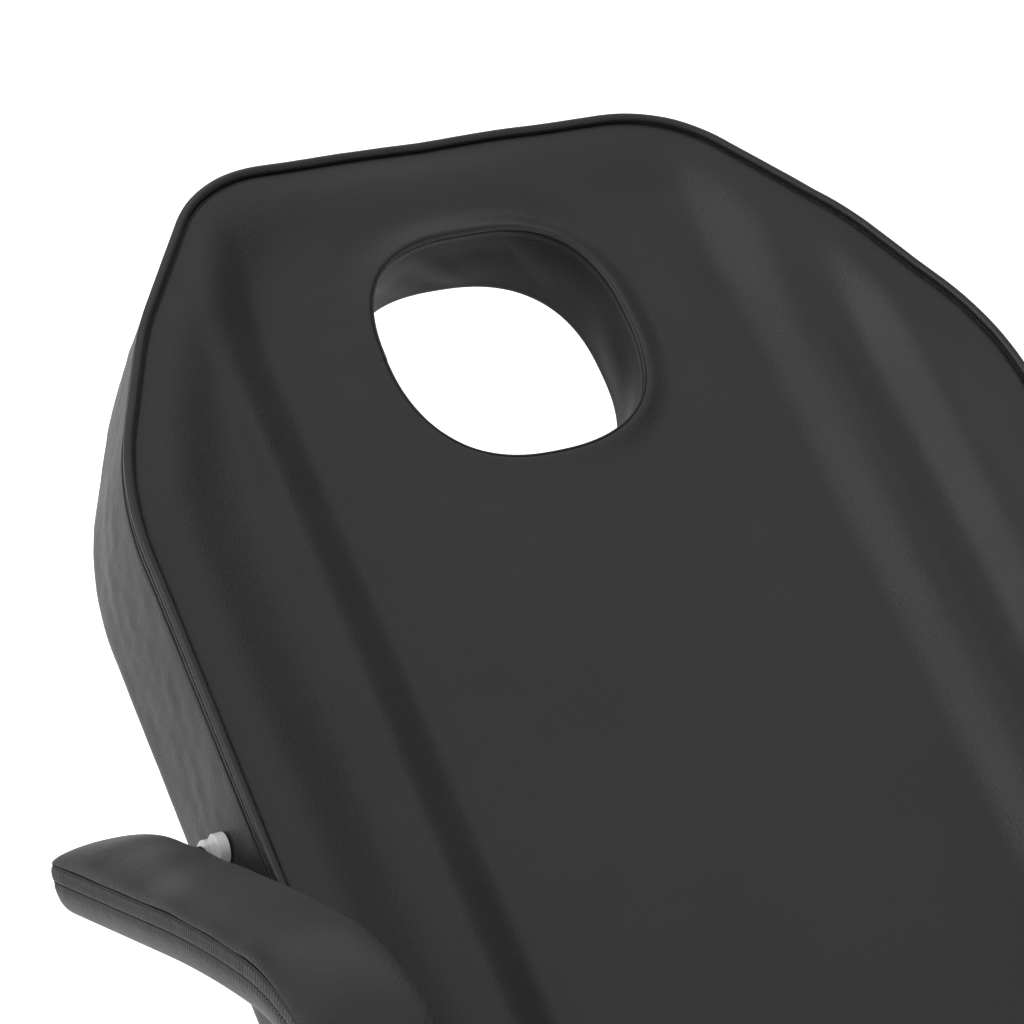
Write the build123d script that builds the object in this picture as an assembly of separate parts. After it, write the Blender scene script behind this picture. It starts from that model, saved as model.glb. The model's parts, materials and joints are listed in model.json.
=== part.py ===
from build123d import *
import math
import os

# Facial treatment bed: three hinged pads on a hydraulic column with a round floor plate.
# Frame: origin on the floor under the lift column, +X across the bed, +Y to the head end, +Z up.
# All sizes in millimetres. The lying client's right hand is on the -X side.

# ---- driving dimensions -------------------------------------------------------------------
HALF_WIDTH = 300.0          # half the width of every pad
SEAT_FACE_Z = 620.0         # height of the seat face with the column lowered
PADDING = 56.0              # padding thickness in the flat middle panel
BOARD = 15.0                # plywood under the padding
TUBE = 30.0                 # square tube of the back and leg frames
SEAT_TUBE = 40.0            # square tube of the seat frame
BACK_TILT = 36.0            # backrest above level
LEG_DROP = 25.0             # leg rest below level
HEAD_LINE = 800.0           # back hinge to the line of the head corners
HOLE_FROM_HINGE = 659.5     # back hinge to the centre of the face hole
LEG_LENGTH = 550.0
SEAT_LENGTH = 440.0
BACK_HINGE_Y = 150.0

# ---- derived places -----------------------------------------------------------------------
HALF_PAD = PADDING / 2
PIVOT_Z = SEAT_FACE_Z - HALF_PAD
LEG_HINGE_Y = BACK_HINGE_Y - SEAT_LENGTH
END_SETBACK = 36.0          # hinge to the centre of a pad's rounded end
BOARD_TOP = -HALF_PAD       # heights n in a section's own frame are from the hinge axis
BOARD_LOW = BOARD_TOP - BOARD
FRAME_LOW = BOARD_LOW - TUBE
SEAT_RAIL_TOP = PIVOT_Z + BOARD_LOW
SEAT_RAIL_LOW = SEAT_RAIL_TOP - SEAT_TUBE

# side layers, as distances from the middle plane
EAR_IN, EAR_OUT = 303.0, 309.0
CHEEK_IN, CHEEK_OUT = 311.0, 317.0
LINK_IN, LINK_OUT = 321.0, 326.0
ARM_IN, ARM_OUT = 334.0, 398.0

WALL = 2.5                  # wall of every square tube
RUNNING = 0.06              # radial clearance of pins in moving eyes
PIN_R = 8.0
ARM_PIN_R = 6.0

BACK = Pos(0, BACK_HINGE_Y, PIVOT_Z) * Rot(BACK_TILT, 0, 0)
LEG = Pos(0, LEG_HINGE_Y, PIVOT_Z) * Rot(LEG_DROP, 0, 0) * Rot(0, 0, 180)
SEAT = Pos(0, LEG_HINGE_Y, PIVOT_Z)

UP = (0, 0, 1)

parts = {}


# ---- helpers ------------------------------------------------------------------------------
def block(x0, x1, y0, y1, z0, z1):
    """Box between two corners."""
    middle = ((x0 + x1) / 2, (y0 + y1) / 2, (z0 + z1) / 2)
    return Pos(*middle) * Box(x1 - x0, y1 - y0, z1 - z0)


def tube(x0, x1, y0, y1, z0, z1, along):
    """Square tube between two corners, open at the ends of its run along X or Y."""
    wx, wy = (-1.0, WALL) if along == "x" else (WALL, -1.0)
    return block(x0, x1, y0, y1, z0, z1) - block(x0 + wx, x1 - wx, y0 + wy, y1 - wy, z0 + WALL, z1 - WALL)


def x_pin(y, z, radius, x0, x1):
    """Cylinder along X between two stations."""
    return Pos((x0 + x1) / 2, y, z) * Rot(0, 90, 0) * Cylinder(radius, x1 - x0)


def z_pin(x, y, radius, z0, z1):
    """Cylinder along Z between two heights."""
    return Pos(x, y, (z0 + z1) / 2) * Cylinder(radius, z1 - z0)


def side_plate(sketch, near, far, side=1):
    """Plate from a (y, z) sketch, between two distances from the middle plane."""
    start = near if side > 0 else -far
    return extrude(Plane.YZ.offset(start) * sketch, far - near, dir=(1, 0, 0))


def bar(y0, z0, y1, z1, width):
    """Round-ended bar in a (y, z) sketch between two centres."""
    length = math.hypot(y1 - y0, z1 - z0)
    angle = math.degrees(math.atan2(z1 - z0, y1 - y0))
    middle = Pos((y0 + y1) / 2, (z0 + z1) / 2)
    return middle * Rot(0, 0, angle) * SlotCenterToCenter(length, width)


def round_bore(sketch, y, z, radius):
    """Cut a round eye out of a (y, z) sketch."""
    return sketch - Pos(y, z) * Circle(radius)


def both_sides(solid):
    """The solid and its mirror image across the middle plane."""
    return [solid, mirror(solid, Plane.YZ)]


def add(name, *solids):
    """Keep the solids of one node."""
    flat = []
    for item in solids:
        flat.extend(item if isinstance(item, (list, tuple)) else [item])
    loose = []
    for item in flat:
        loose.extend(item.solids())
    parts[name] = loose[0] if len(loose) == 1 else Compound(children=loose)


def in_section(frame, d, n):
    """World (y, z) of a point at distance d from a section's hinge, height n above its axis."""
    spot = (frame * Pos(0, d, n)).position
    return spot.Y, spot.Z


# ---- padding ------------------------------------------------------------------------------
TRIM = 0.2                  # plan outlines lie this far inside the cross-section's sides
PANEL_HALF = 150.0          # flat middle panel ends here and the side bolsters start
SHOULDER = (240.0, 0.70)    # place across, and share of the full bolster height there


def pad_section(rise):
    """Cross-section (x, n): flat middle panel between raised side bolsters."""
    top = HALF_PAD + rise
    shoulder = HALF_PAD + SHOULDER[1] * rise
    half = [(PANEL_HALF, HALF_PAD), (SHOULDER[0], shoulder), (HALF_WIDTH, top), (HALF_WIDTH, -HALF_PAD)]
    mirrored = [(-x, n) for x, n in reversed(half)]
    return make_face(FilletPolyline(*half, *mirrored, radius=[60, 40, 12, 10, 10, 12, 40, 60], close=True))


def pad_profile(length, rise, fade_near, fade_far):
    """Side profile (d, n): a full round end towards a hinge, and a ramp that fades the bolsters there."""
    top = HALF_PAD + rise
    start = END_SETBACK if fade_near else 0.0
    end = length - END_SETBACK if fade_far else length
    outline = [(start, -HALF_PAD), (end, -HALF_PAD)]
    if fade_far:
        outline += [(end, HALF_PAD), (end - 20, HALF_PAD), (end - 110, top)]
    else:
        outline += [(end, top)]
    if fade_near:
        outline += [(start + 110, top), (start + 20, HALF_PAD), (start, HALF_PAD)]
    else:
        outline += [(start, top)]
    face = make_face(Polyline(*outline, close=True))
    if fade_near:
        face += Pos(start, 0) * Circle(HALF_PAD)
    if fade_far:
        face += Pos(end, 0) * Circle(HALF_PAD)
    return face


def pad_solid(length, rise, outline=None, fade_far=False):
    """Padding: cross-section, side profile and, where the far end is shaped, plan outline in common."""
    section = extrude(Plane.XZ.offset(100) * pad_section(rise), 1200, dir=(0, 1, 0))
    profile = side_plate(pad_profile(length, rise, True, fade_far), -HALF_WIDTH - 10, HALF_WIDTH + 10)
    solid = section.solids()[0] & profile.solids()[0]
    if outline is not None:
        solid = solid & extrude(Pos(0, 0, -HALF_PAD - 10) * outline, 200, dir=UP).solids()[0]
    return solid


CROWN = 18.6                # the head edge bows out past the line of its corners
HEAD_CORNERS = [(300.0, -227.0, 212.0), (244.7, -114.0, 240.0), (163.8, 0.0, 100.0)]


def back_outline(inset=0.0):
    """Plan (x, d) of the backrest: straight sides, then three blunt corners up to a bowed head edge."""
    near = -40.0
    corners = [(x - inset, HEAD_LINE + d - 0.6 * inset, r) for x, d, r in HEAD_CORNERS]
    points = [(HALF_WIDTH - inset, near)] + [(x, d) for x, d, _ in corners]
    radii = [1.0] + [r for _, _, r in corners]
    mirrored = [(-x, d) for x, d in reversed(points)]
    crown = [(0.0, HEAD_LINE + CROWN - inset)]
    return make_face(FilletPolyline(*points, *crown, *mirrored,
                                    radius=[*radii, 600.0, *reversed(radii)], close=True))


def rounded_plan(d0, d1, half, corner):
    """Plan (x, d) of a straight-sided pad with rounded far corners."""
    points = [(half, d0), (half, d1), (-half, d1), (-half, d0)]
    return make_face(FilletPolyline(*points, radius=[1.0, corner, corner, 1.0], close=True))


HOLE_HALF = (84.0, 81.0, 86.0)      # half width, half length to the head, half length to the seat
HOLE_POWER = 2.5
BOARD_HOLE_MARGIN = 16.0    # the board is cut back this far all round the face hole
HOLE_POINTS = 24


def face_hole(margin=0.0):
    """Plan (x, d) of the face hole: a rounded superellipse."""
    spots = []
    for i in range(HOLE_POINTS):
        turn = 2 * math.pi * i / HOLE_POINTS
        c, s = math.cos(turn), math.sin(turn)
        length = HOLE_HALF[1] if s > 0 else HOLE_HALF[2]
        x = math.copysign(abs(c) ** (2 / HOLE_POWER), c) * (HOLE_HALF[0] + margin)
        d = math.copysign(abs(s) ** (2 / HOLE_POWER), s) * (length + margin)
        spots.append((x, HOLE_FROM_HINGE + d))
    return make_face(Spline(*spots, periodic=True))


def through(sketch):
    """Cutter along a section's normal."""
    return extrude(Pos(0, 0, -150) * sketch, 300, dir=UP)


BOARD_START = 45.0          # hinge axis to the end of a section's board


def board_solid(frame, plan):
    """Plywood board of a section from its plan (x, d)."""
    return frame * extrude(Pos(0, 0, BOARD_LOW) * plan, BOARD, dir=UP)


# ---- base and column ----------------------------------------------------------------------
BASE_R = 320.0
PLATE = 8.0
HOUSING_R = 60.0
HOUSING_TOP = 300.0
BARREL_R = 51.0
RAM_R = 38.0
RAM_BORE = 22.0
GLAND_TOP = 322.0
SHOULDER_Z = 430.0          # ram shoulder that carries the swivel, column lowered
SPIGOT_R = 30.0
TURNTABLE_LOW = SEAT_RAIL_LOW - 10.0


def revolve_profile(points):
    """Turned solid from (radius, z) points."""
    return revolve(Plane.XZ * make_face(Polyline(*points, close=True)), Axis.Z)


def make_base():
    plate = chamfer(z_pin(0, 0, BASE_R, 0, PLATE).edges().sort_by(Axis.Z)[-1:], 2)
    add("base_plate", plate)
    trim = z_pin(0, 0, BASE_R + 4, 0.5, 9.5) - z_pin(0, 0, BASE_R + 0.1, 0, 20)
    add("base_edge_trim", trim)
    wall = 3.0
    outer = ThreePointArc((302, PLATE), (180, 44), (68, 58))
    inner = ThreePointArc((68, 58 - wall), (180, 44 - wall), (302 - 4 * wall, PLATE))
    rims = [Line((68, 58), (68, 58 - wall)), Line((302 - 4 * wall, PLATE), (302, PLATE))]
    face = make_face([outer, rims[0], inner, rims[1]])
    add("base_cover", revolve(Plane.XZ * face, Axis.Z))
    collar = [(60.4, 52.0), (67.6, 52.0), (67.6, 58.5), (76, 60.5), (76, 63.5), (60.4, 63.5)]
    add("cover_collar", revolve_profile(collar))
    housing = z_pin(0, 0, HOUSING_R, PLATE, HOUSING_TOP)
    add("pump_housing", housing - z_pin(0, 0, BARREL_R, PLATE + 12, HOUSING_TOP + 1))
    gland = [(RAM_R + RUNNING, HOUSING_TOP), (64, HOUSING_TOP), (64, GLAND_TOP - 4), (60, GLAND_TOP),
             (RAM_R + RUNNING, GLAND_TOP)]
    add("pump_gland", revolve_profile(gland))


PEDAL_PIVOT = (98.0, 84.0)
PEDAL_TAIL = 22.0
PLUNGER_Y = PEDAL_PIVOT[0] - PEDAL_TAIL
PEDAL_PAD_Y = 385.0


def make_pump():
    body = block(-32, 32, HOUSING_R - 12, 112, 66, 150) - z_pin(0, 0, HOUSING_R + 0.05, 0, 200)
    body -= block(-12.5, 12.5, 40, 120, 60, 106)
    body -= z_pin(0, PLUNGER_Y, 6.0 + RUNNING, 100, 142)
    body -= x_pin(*PEDAL_PIVOT, 5.0 + RUNNING, -40, 40)
    add("pump_block", body)
    add("pump_plunger", z_pin(0, PLUNGER_Y, 6, 90.3, 136))
    pin = x_pin(*PEDAL_PIVOT, 5, -33, 33)
    heads = [x_pin(*PEDAL_PIVOT, 8, 32.2, 35), x_pin(*PEDAL_PIVOT, 8, -35, -32.2)]
    add("pedal_pin", pin + heads[0] + heads[1])
    path = Pos(PEDAL_PIVOT[0], PEDAL_PIVOT[1]) * Circle(9)
    path += bar(PLUNGER_Y, PEDAL_PIVOT[1], PEDAL_PIVOT[0], PEDAL_PIVOT[1], 12)
    path += bar(*PEDAL_PIVOT, 230, 112, 14)
    path += bar(230, 112, PEDAL_PAD_Y, 92, 14)
    lever = side_plate(round_bore(path, *PEDAL_PIVOT, 5 + RUNNING), -10, 10)
    add("pedal_lever", lever)
    slope = math.degrees(math.atan2(92 - 112, PEDAL_PAD_Y - 230))
    plate = Pos(0, PEDAL_PAD_Y + 5, 92) * Rot(slope, 0, 0)
    tread = plate * (Pos(0, 0, 12) * Box(74, 66, 10))
    add("pedal_pad", fillet(tread.edges().filter_by(lambda e: abs(e.tangent_at(0.5).Z) > 0.7), 14))


SWIVEL_GAP = 0.3
BRAKE_Z = 470.0


def make_ram():
    ram = z_pin(0, 0, BARREL_R - RUNNING, 90, 106) + z_pin(0, 0, RAM_R, 105, SHOULDER_Z)
    ram += z_pin(0, 0, SPIGOT_R, SHOULDER_Z - 1, 494)
    ram -= z_pin(0, 0, RAM_BORE, 80, 480)
    add("ram", ram)
    washer = z_pin(0, 0, 50, SHOULDER_Z, SHOULDER_Z + 5.7) - z_pin(0, 0, SPIGOT_R + 0.02, 400, 500)
    add("swivel_washer", washer)


def make_turntable():
    hub = z_pin(0, 0, 54, SHOULDER_Z + 6, TURNTABLE_LOW) + x_pin(0, BRAKE_Z, 13, 40, 72)
    hub -= z_pin(0, 0, SPIGOT_R + RUNNING, 400, 496)
    hub -= x_pin(0, BRAKE_Z, 5 + RUNNING, 20, 80)
    add("turntable_hub", hub)
    plate = block(-130, 130, -120, 120, TURNTABLE_LOW, SEAT_RAIL_LOW)
    add("turntable_plate", fillet(plate.edges().filter_by(Axis.Z), 20))
    corners = [(x, y) for x in (-95, 95) for y in (-60, 40)]
    bolts = [extrude(Pos(x, y, TURNTABLE_LOW - 6) * RegularPolygon(9, 6), 6) for x, y in corners]
    add("turntable_bolts", bolts)
    handle = side_plate(bar(0, BRAKE_Z, 0, BRAKE_Z - 62, 16), 72.4, 78.4)
    screw = x_pin(0, BRAKE_Z, 5, 32, 73)
    head = x_pin(0, BRAKE_Z, 11, 78, 83)
    add("swivel_brake_lever", handle + screw + head)
    add("swivel_brake_knob", Pos(90, 0, BRAKE_Z - 62) * Sphere(13) & block(78.4, 120, -20, 20, 380, 440))


# ---- seat section -------------------------------------------------------------------------
RAIL_X = (235.0, 275.0)
FRAME_START = 75.0          # frames stay this far from a hinge axis, so that folded sections clear
BACK_EAR_BASE = BACK_HINGE_Y - 45.0
PAWL_BACK = (-62.0, -60.0)  # pawl pivots from the hinge axes
PAWL_LEG = (68.0, -58.0)
ARM_SPAN = (-250.0, 8.0)    # arm pivot to link pivot, and the same step from the back hinge
LINK_Y, LINK_Z = BACK_HINGE_Y + ARM_SPAN[0], PIVOT_Z + ARM_SPAN[1]
SEAT_RISE = 34.0


def make_seat():
    y0 = LEG_HINGE_Y + FRAME_START
    y1 = BACK_EAR_BASE
    low, top = SEAT_RAIL_LOW, SEAT_RAIL_TOP
    add("seat_side_rails", both_sides(tube(*RAIL_X, y0 + SEAT_TUBE, y1 - SEAT_TUBE, low, top, "y")))
    ends = [tube(-EAR_IN, EAR_IN, y, y + SEAT_TUBE, low, top, "x") for y in (y0, y1 - SEAT_TUBE)]
    middle = [tube(-RAIL_X[0], RAIL_X[0], y, y + SEAT_TUBE, low, top, "x") for y in (-80, 20)]
    add("seat_cross_rails", ends, middle)
    plan = rounded_plan(BOARD_START, SEAT_LENGTH - BOARD_START, HALF_WIDTH - 10, 1)
    add("seat_board", board_solid(SEAT, plan))
    add("seat_pad", SEAT * pad_solid(SEAT_LENGTH, SEAT_RISE, fade_far=True))


def ear(hinge_y, pawl, base_y0, base_y1, side):
    """Upright plate from the seat frame to a hinge axis, with a lug for the pawl."""
    py, pz = hinge_y + pawl[0], PIVOT_Z + pawl[1]
    base_mid = (base_y0 + base_y1) / 2
    sketch = bar(hinge_y, PIVOT_Z, py, pz, 44) + bar(py, pz, base_mid, SEAT_RAIL_LOW + 24, 44)
    sketch += Pos(base_mid, (SEAT_RAIL_LOW + SEAT_RAIL_TOP) / 2) * Rectangle(base_y1 - base_y0, SEAT_TUBE)
    sketch = round_bore(sketch, hinge_y, PIVOT_Z, PIN_R + 0.02)
    sketch = round_bore(sketch, py, pz, 5.02)
    return side_plate(sketch, EAR_IN, EAR_OUT, side)


def hinge_pin(y, z, radius, near, shoulder, head_r, head, side):
    """Headed pin that is flush with the inner plate."""
    sign = 1 if side > 0 else -1
    shank = x_pin(y, z, radius, *sorted((sign * near, sign * shoulder)))
    cap = x_pin(y, z, head_r, *sorted((sign * shoulder, sign * (shoulder + head))))
    return shank + cap


def make_seat_ears(side, tag):
    front_base = LEG_HINGE_Y + FRAME_START
    add(f"back_ear_{tag}", ear(BACK_HINGE_Y, PAWL_BACK, BACK_EAR_BASE - 70, BACK_EAR_BASE, side))
    add(f"leg_ear_{tag}", ear(LEG_HINGE_Y, PAWL_LEG, front_base, front_base + 70, side))


def make_link_lugs():
    lug = bar(LINK_Y, SEAT_RAIL_LOW + 18, LINK_Y, LINK_Z, 32)
    lug = round_bore(lug, LINK_Y, LINK_Z, ARM_PIN_R + 0.02)
    stub = block(RAIL_X[1], EAR_IN, LINK_Y - 15, LINK_Y + 15, SEAT_RAIL_LOW + 5, SEAT_RAIL_TOP - 5)
    add("link_lugs", both_sides(side_plate(lug, EAR_IN, EAR_OUT) + stub))
    spacer = x_pin(LINK_Y, LINK_Z, 10, EAR_OUT, LINK_IN - 0.3)
    spacer -= x_pin(LINK_Y, LINK_Z, ARM_PIN_R + 0.02, EAR_IN, LINK_OUT)
    add("link_spacers", both_sides(spacer))


def make_pins():
    pins = []
    washers = []
    for y in (BACK_HINGE_Y, LEG_HINGE_Y):
        pins += [hinge_pin(y, PIVOT_Z, PIN_R, EAR_IN, CHEEK_OUT + 0.4, 13, 3, side) for side in (1, -1)]
        ring = x_pin(y, PIVOT_Z, 15, EAR_OUT, CHEEK_IN - 0.3) - x_pin(y, PIVOT_Z, PIN_R + 0.02, 300, 320)
        washers += both_sides(ring)
    add("hinge_pins", pins)
    add("hinge_washers", washers)
    shoulder = LINK_OUT + 0.4
    add("link_pins", [hinge_pin(LINK_Y, LINK_Z, ARM_PIN_R, EAR_IN, shoulder, 10, 3, side) for side in (1, -1)])
    back = (BACK_HINGE_Y + PAWL_BACK[0], PIVOT_Z + PAWL_BACK[1])
    leg = (LEG_HINGE_Y + PAWL_LEG[0], PIVOT_Z + PAWL_LEG[1])
    add("pawl_pins", [hinge_pin(*spot, 5, EAR_IN, CHEEK_OUT + 0.4, 8, 3, 1) for spot in (back, leg)])


# ---- toothed cheeks and pawls -------------------------------------------------------------
TOOTH_TIP = 46.0
TOOTH_ROOT = 41.5
TOOTH_STEP = 8.0
NOSE_GAP = 0.6
ARM_OF_CHEEK = (90.0, (BOARD_LOW + FRAME_LOW) / 2)


def cheek(first, last):
    """Hinge cheek (d, n): a disc on the axis, an arm to the frame, and ratchet teeth between two angles."""
    sketch = Circle(TOOTH_ROOT) + bar(0, 0, *ARM_OF_CHEEK, 44)
    count = int((last - first) / TOOTH_STEP) if last > first else 0
    for i in range(count):
        tooth = make_face(Polyline((TOOTH_ROOT - 2, -2.6), (TOOTH_TIP, -0.9), (TOOTH_TIP, 0.9),
                                   (TOOTH_ROOT - 2, 2.6), close=True))
        sketch += Rot(0, 0, first + TOOTH_STEP * (i + 0.5)) * tooth
    return round_bore(sketch, 0, 0, PIN_R + RUNNING)


def pawl(hinge_y, spot, nose_angle, grip_step):
    """Pawl lever: nose just clear of the teeth, pivot on the ear, hand arm hanging down."""
    py, pz = hinge_y + spot[0], PIVOT_Z + spot[1]
    turn = math.radians(nose_angle)
    reach = TOOTH_TIP + NOSE_GAP + 9.0
    ny, nz = hinge_y + reach * math.cos(turn), PIVOT_Z + reach * math.sin(turn)
    tip = TOOTH_TIP + NOSE_GAP
    wedge = make_face(Polyline((tip, -1), (reach, -6), (reach, 6), (tip, 1), close=True))
    sketch = bar(py, pz, ny, nz, 12) + Pos(py, pz) * Circle(11)
    sketch += Pos(hinge_y, PIVOT_Z) * Rot(0, 0, nose_angle) * wedge
    sketch += bar(py, pz, py + grip_step[0], pz + grip_step[1], 14)
    return side_plate(round_bore(sketch, py, pz, 5 + RUNNING), CHEEK_IN, CHEEK_OUT)


GRIP_BACK = (-18.0, -104.0)
GRIP_LEG = (14.0, -106.0)


def make_pawls():
    for name, hinge_y, spot, nose, step in (("back", BACK_HINGE_Y, PAWL_BACK, 205, GRIP_BACK),
                                            ("leg", LEG_HINGE_Y, PAWL_LEG, -25, GRIP_LEG)):
        add(f"{name}_pawl", pawl(hinge_y, spot, nose, step))
        gy, gz = hinge_y + spot[0] + step[0], PIVOT_Z + spot[1] + step[1]
        grip = x_pin(gy, gz, 11, CHEEK_OUT, CHEEK_OUT + 46)
        add(f"{name}_pawl_grip", fillet(grip.edges().sort_by(Axis.X)[-1:], 5))


# ---- back section -------------------------------------------------------------------------
BACK_RISE = 54.0
FRAME_RAIL_X = (200.0, 230.0)
ARM_D = 361.0               # arm pivot along the back
ARM_N = 16.0                # and above the hinge axis' plane
ARM_TIP_N = 35.0            # centre of the arm bracket's rounded tip
ARM_TIP_WIDTH = 18.0
BACK_RAIL_END = 660.0


def rails(frame, *runs):
    """Pairs of long tubes of a hinged section, one pair for each run (start, end)."""
    pairs = []
    for start, end in runs:
        pairs += both_sides(tube(*FRAME_RAIL_X, start, end, FRAME_LOW, BOARD_LOW, "y"))
    return [frame * item for item in pairs]


def cross_rail(frame, d, half):
    """One tube across a hinged section."""
    return frame * tube(-half, half, d, d + TUBE, FRAME_LOW, BOARD_LOW, "x")


def make_back():
    arm_rail = ARM_D - TUBE / 2
    add("back_side_rails", rails(BACK, (FRAME_START + TUBE, arm_rail), (arm_rail + TUBE, BACK_RAIL_END)))
    add("back_cross_rails", cross_rail(BACK, FRAME_START, CHEEK_IN), cross_rail(BACK, arm_rail, EAR_IN),
        cross_rail(BACK, 520, FRAME_RAIL_X[0]))
    plan = back_outline(12) & Pos(0, 500) * Rectangle(700, 2 * (500 - BOARD_START))
    add("back_board", board_solid(BACK, plan - face_hole(BOARD_HOLE_MARGIN)))
    pad = pad_solid(HEAD_LINE + CROWN + 1, BACK_RISE, back_outline(TRIM)) - through(face_hole())
    add("back_pad", BACK * pad)


def make_back_side(side, tag):
    teeth = (122, 210) if side > 0 else (0, 0)
    add(f"back_cheek_{tag}", BACK * side_plate(cheek(*teeth), CHEEK_IN, CHEEK_OUT, side))
    post = bar(ARM_D, ARM_OF_CHEEK[1], ARM_D, ARM_N, 30)
    post += bar(ARM_D, ARM_N, ARM_D, ARM_TIP_N, ARM_TIP_WIDTH)
    post = round_bore(post, ARM_D, ARM_N, ARM_PIN_R + 0.02)
    add(f"arm_bracket_{tag}", BACK * side_plate(post, EAR_IN, EAR_OUT, side))


def make_leg():
    add("leg_side_rails", rails(LEG, (FRAME_START + TUBE, 480)))
    add("leg_cross_rails", cross_rail(LEG, FRAME_START, CHEEK_IN), cross_rail(LEG, 480, FRAME_RAIL_X[1]))
    add("leg_board", board_solid(LEG, rounded_plan(BOARD_START, LEG_LENGTH - 12, HALF_WIDTH - 12, 60)))
    plan = rounded_plan(-10, LEG_LENGTH, HALF_WIDTH - TRIM, 70)
    add("leg_pad", LEG * pad_solid(LEG_LENGTH + 1, SEAT_RISE, plan))


def make_leg_cheeks():
    """The leg section is turned end for end, so the bed's left is on its own -X side."""
    toothed = side_plate(cheek(110, 198), CHEEK_IN, CHEEK_OUT, -1)
    plain = side_plate(cheek(0, 0), CHEEK_IN, CHEEK_OUT)
    add("leg_cheeks", LEG * toothed, LEG * plain)


# ---- armrests -----------------------------------------------------------------------------
ARM_Y, ARM_Z = in_section(BACK, ARM_D, ARM_N)
ARM_PADDING = 33.0
ARM_BOARD = 8.0
ARM_BOARD_INSET = 14.0
ARM_START = (-12.0, -4.0)   # lower rear edge of the armrest padding, forward of and above the arm pivot
ARM_SLOPE = 16.3            # the underside first climbs at this angle
ARM_STRAIGHT = 166.0        # for this far, then bends down along two arcs
ARM_ARCS = ((1000.0, 6.5), (135.0, 33.8))       # radius, turn in degrees


def arm_point(along, height):
    """(forward, up) from the arm pivot of a point along the armrest's underside and above it."""
    slope = math.radians(ARM_SLOPE)
    run = min(along, ARM_STRAIGHT)
    forward = ARM_START[0] + run * math.cos(slope)
    up = ARM_START[1] + run * math.sin(slope)
    rest = along - run
    for radius, turn in ARM_ARCS:
        run = min(rest, radius * math.radians(turn))
        after = slope - run / radius
        forward += radius * (math.sin(slope) - math.sin(after))
        up += radius * (math.cos(after) - math.cos(slope))
        slope = after
        rest -= run
    return forward - height * math.sin(slope), up + height * math.cos(slope)


ARM_BEND = ARM_STRAIGHT + ARM_ARCS[0][0] * math.radians(ARM_ARCS[0][1])
ARM_LENGTH = ARM_BEND + ARM_ARCS[1][0] * math.radians(ARM_ARCS[1][1])


def arm_layer(low, high, start, end):
    """Side view (y, z) of one layer of the armrest, between two heights above its underside."""
    def spot(along, height):
        forward, up = arm_point(along, height)
        return ARM_Y - forward, ARM_Z + up

    def arc(first, last, height):
        return ThreePointArc(spot(first, height), spot((first + last) / 2, height), spot(last, height))

    edges = [Line(spot(start, low), spot(ARM_STRAIGHT, low)),
             arc(ARM_STRAIGHT, ARM_BEND, low),
             arc(ARM_BEND, end, low),
             Line(spot(end, low), spot(end, high)),
             arc(end, ARM_BEND, high),
             arc(ARM_BEND, ARM_STRAIGHT, high),
             Line(spot(ARM_STRAIGHT, high), spot(start, high)),
             Line(spot(start, high), spot(start, low))]
    return make_face(edges)


def make_arm(side, tag):
    y_back = ARM_Y - ARM_START[0] + 10
    y_front = ARM_Y - arm_point(ARM_LENGTH, ARM_PADDING)[0] - 1
    middle_x = side * (ARM_IN + ARM_OUT) / 2
    plan = Pos(middle_x, (y_back + y_front) / 2) * RectangleRounded(ARM_OUT - ARM_IN, y_back - y_front, 24)
    column = extrude(Pos(0, 0, ARM_Z - 100) * plan, 300, dir=UP)
    padding = side_plate(arm_layer(0, ARM_PADDING, 0, ARM_LENGTH), ARM_IN, ARM_OUT, side)
    add(f"arm_pad_{tag}", padding & column)
    slab = arm_layer(-ARM_BOARD, 0, 22, ARM_LENGTH - 20)
    slab = side_plate(slab, ARM_IN + ARM_BOARD_INSET, ARM_OUT - ARM_BOARD_INSET, side)
    add(f"arm_board_{tag}", slab)
    eye = bar(ARM_Y, ARM_Z, ARM_Y + ARM_SPAN[0], ARM_Z + ARM_SPAN[1], 24)
    web_ends = [arm_point(along, -ARM_BOARD - 2.5) for along in (22, ARM_STRAIGHT - 4)]
    web = [(ARM_Y - forward, ARM_Z + up) for forward, up in web_ends]
    web += [(ARM_Y - ARM_STRAIGHT, ARM_Z), (ARM_Y - 4, ARM_Z)]
    eye += make_face(Polyline(*web, close=True))
    eye = round_bore(eye, ARM_Y, ARM_Z, ARM_PIN_R + RUNNING)
    eye = round_bore(eye, ARM_Y + ARM_SPAN[0], ARM_Z + ARM_SPAN[1], ARM_PIN_R + 0.02)
    shelf_edges = [arm_point(along, height) for along, height in
                   ((22, -ARM_BOARD), (ARM_STRAIGHT - 4, -ARM_BOARD), (ARM_STRAIGHT - 4, -ARM_BOARD - 5),
                    (22, -ARM_BOARD - 5))]
    shelf = make_face(Polyline(*[(ARM_Y - forward, ARM_Z + up) for forward, up in shelf_edges], close=True))
    rail = side_plate(eye, CHEEK_IN, CHEEK_OUT, side) + side_plate(shelf, CHEEK_IN, ARM_OUT - 18, side)
    add(f"arm_rail_{tag}", rail)
    f_y, f_z = ARM_Y + ARM_SPAN[0], ARM_Z + ARM_SPAN[1]
    strut = bar(LINK_Y, LINK_Z, f_y, f_z, 16)
    strut += Pos(LINK_Y, LINK_Z) * Circle(11) + Pos(f_y, f_z) * Circle(11)
    strut = round_bore(strut, LINK_Y, LINK_Z, ARM_PIN_R + RUNNING)
    strut = round_bore(strut, f_y, f_z, ARM_PIN_R + 0.3)
    add(f"arm_link_{tag}", side_plate(strut, LINK_IN, LINK_OUT, side))


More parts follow.
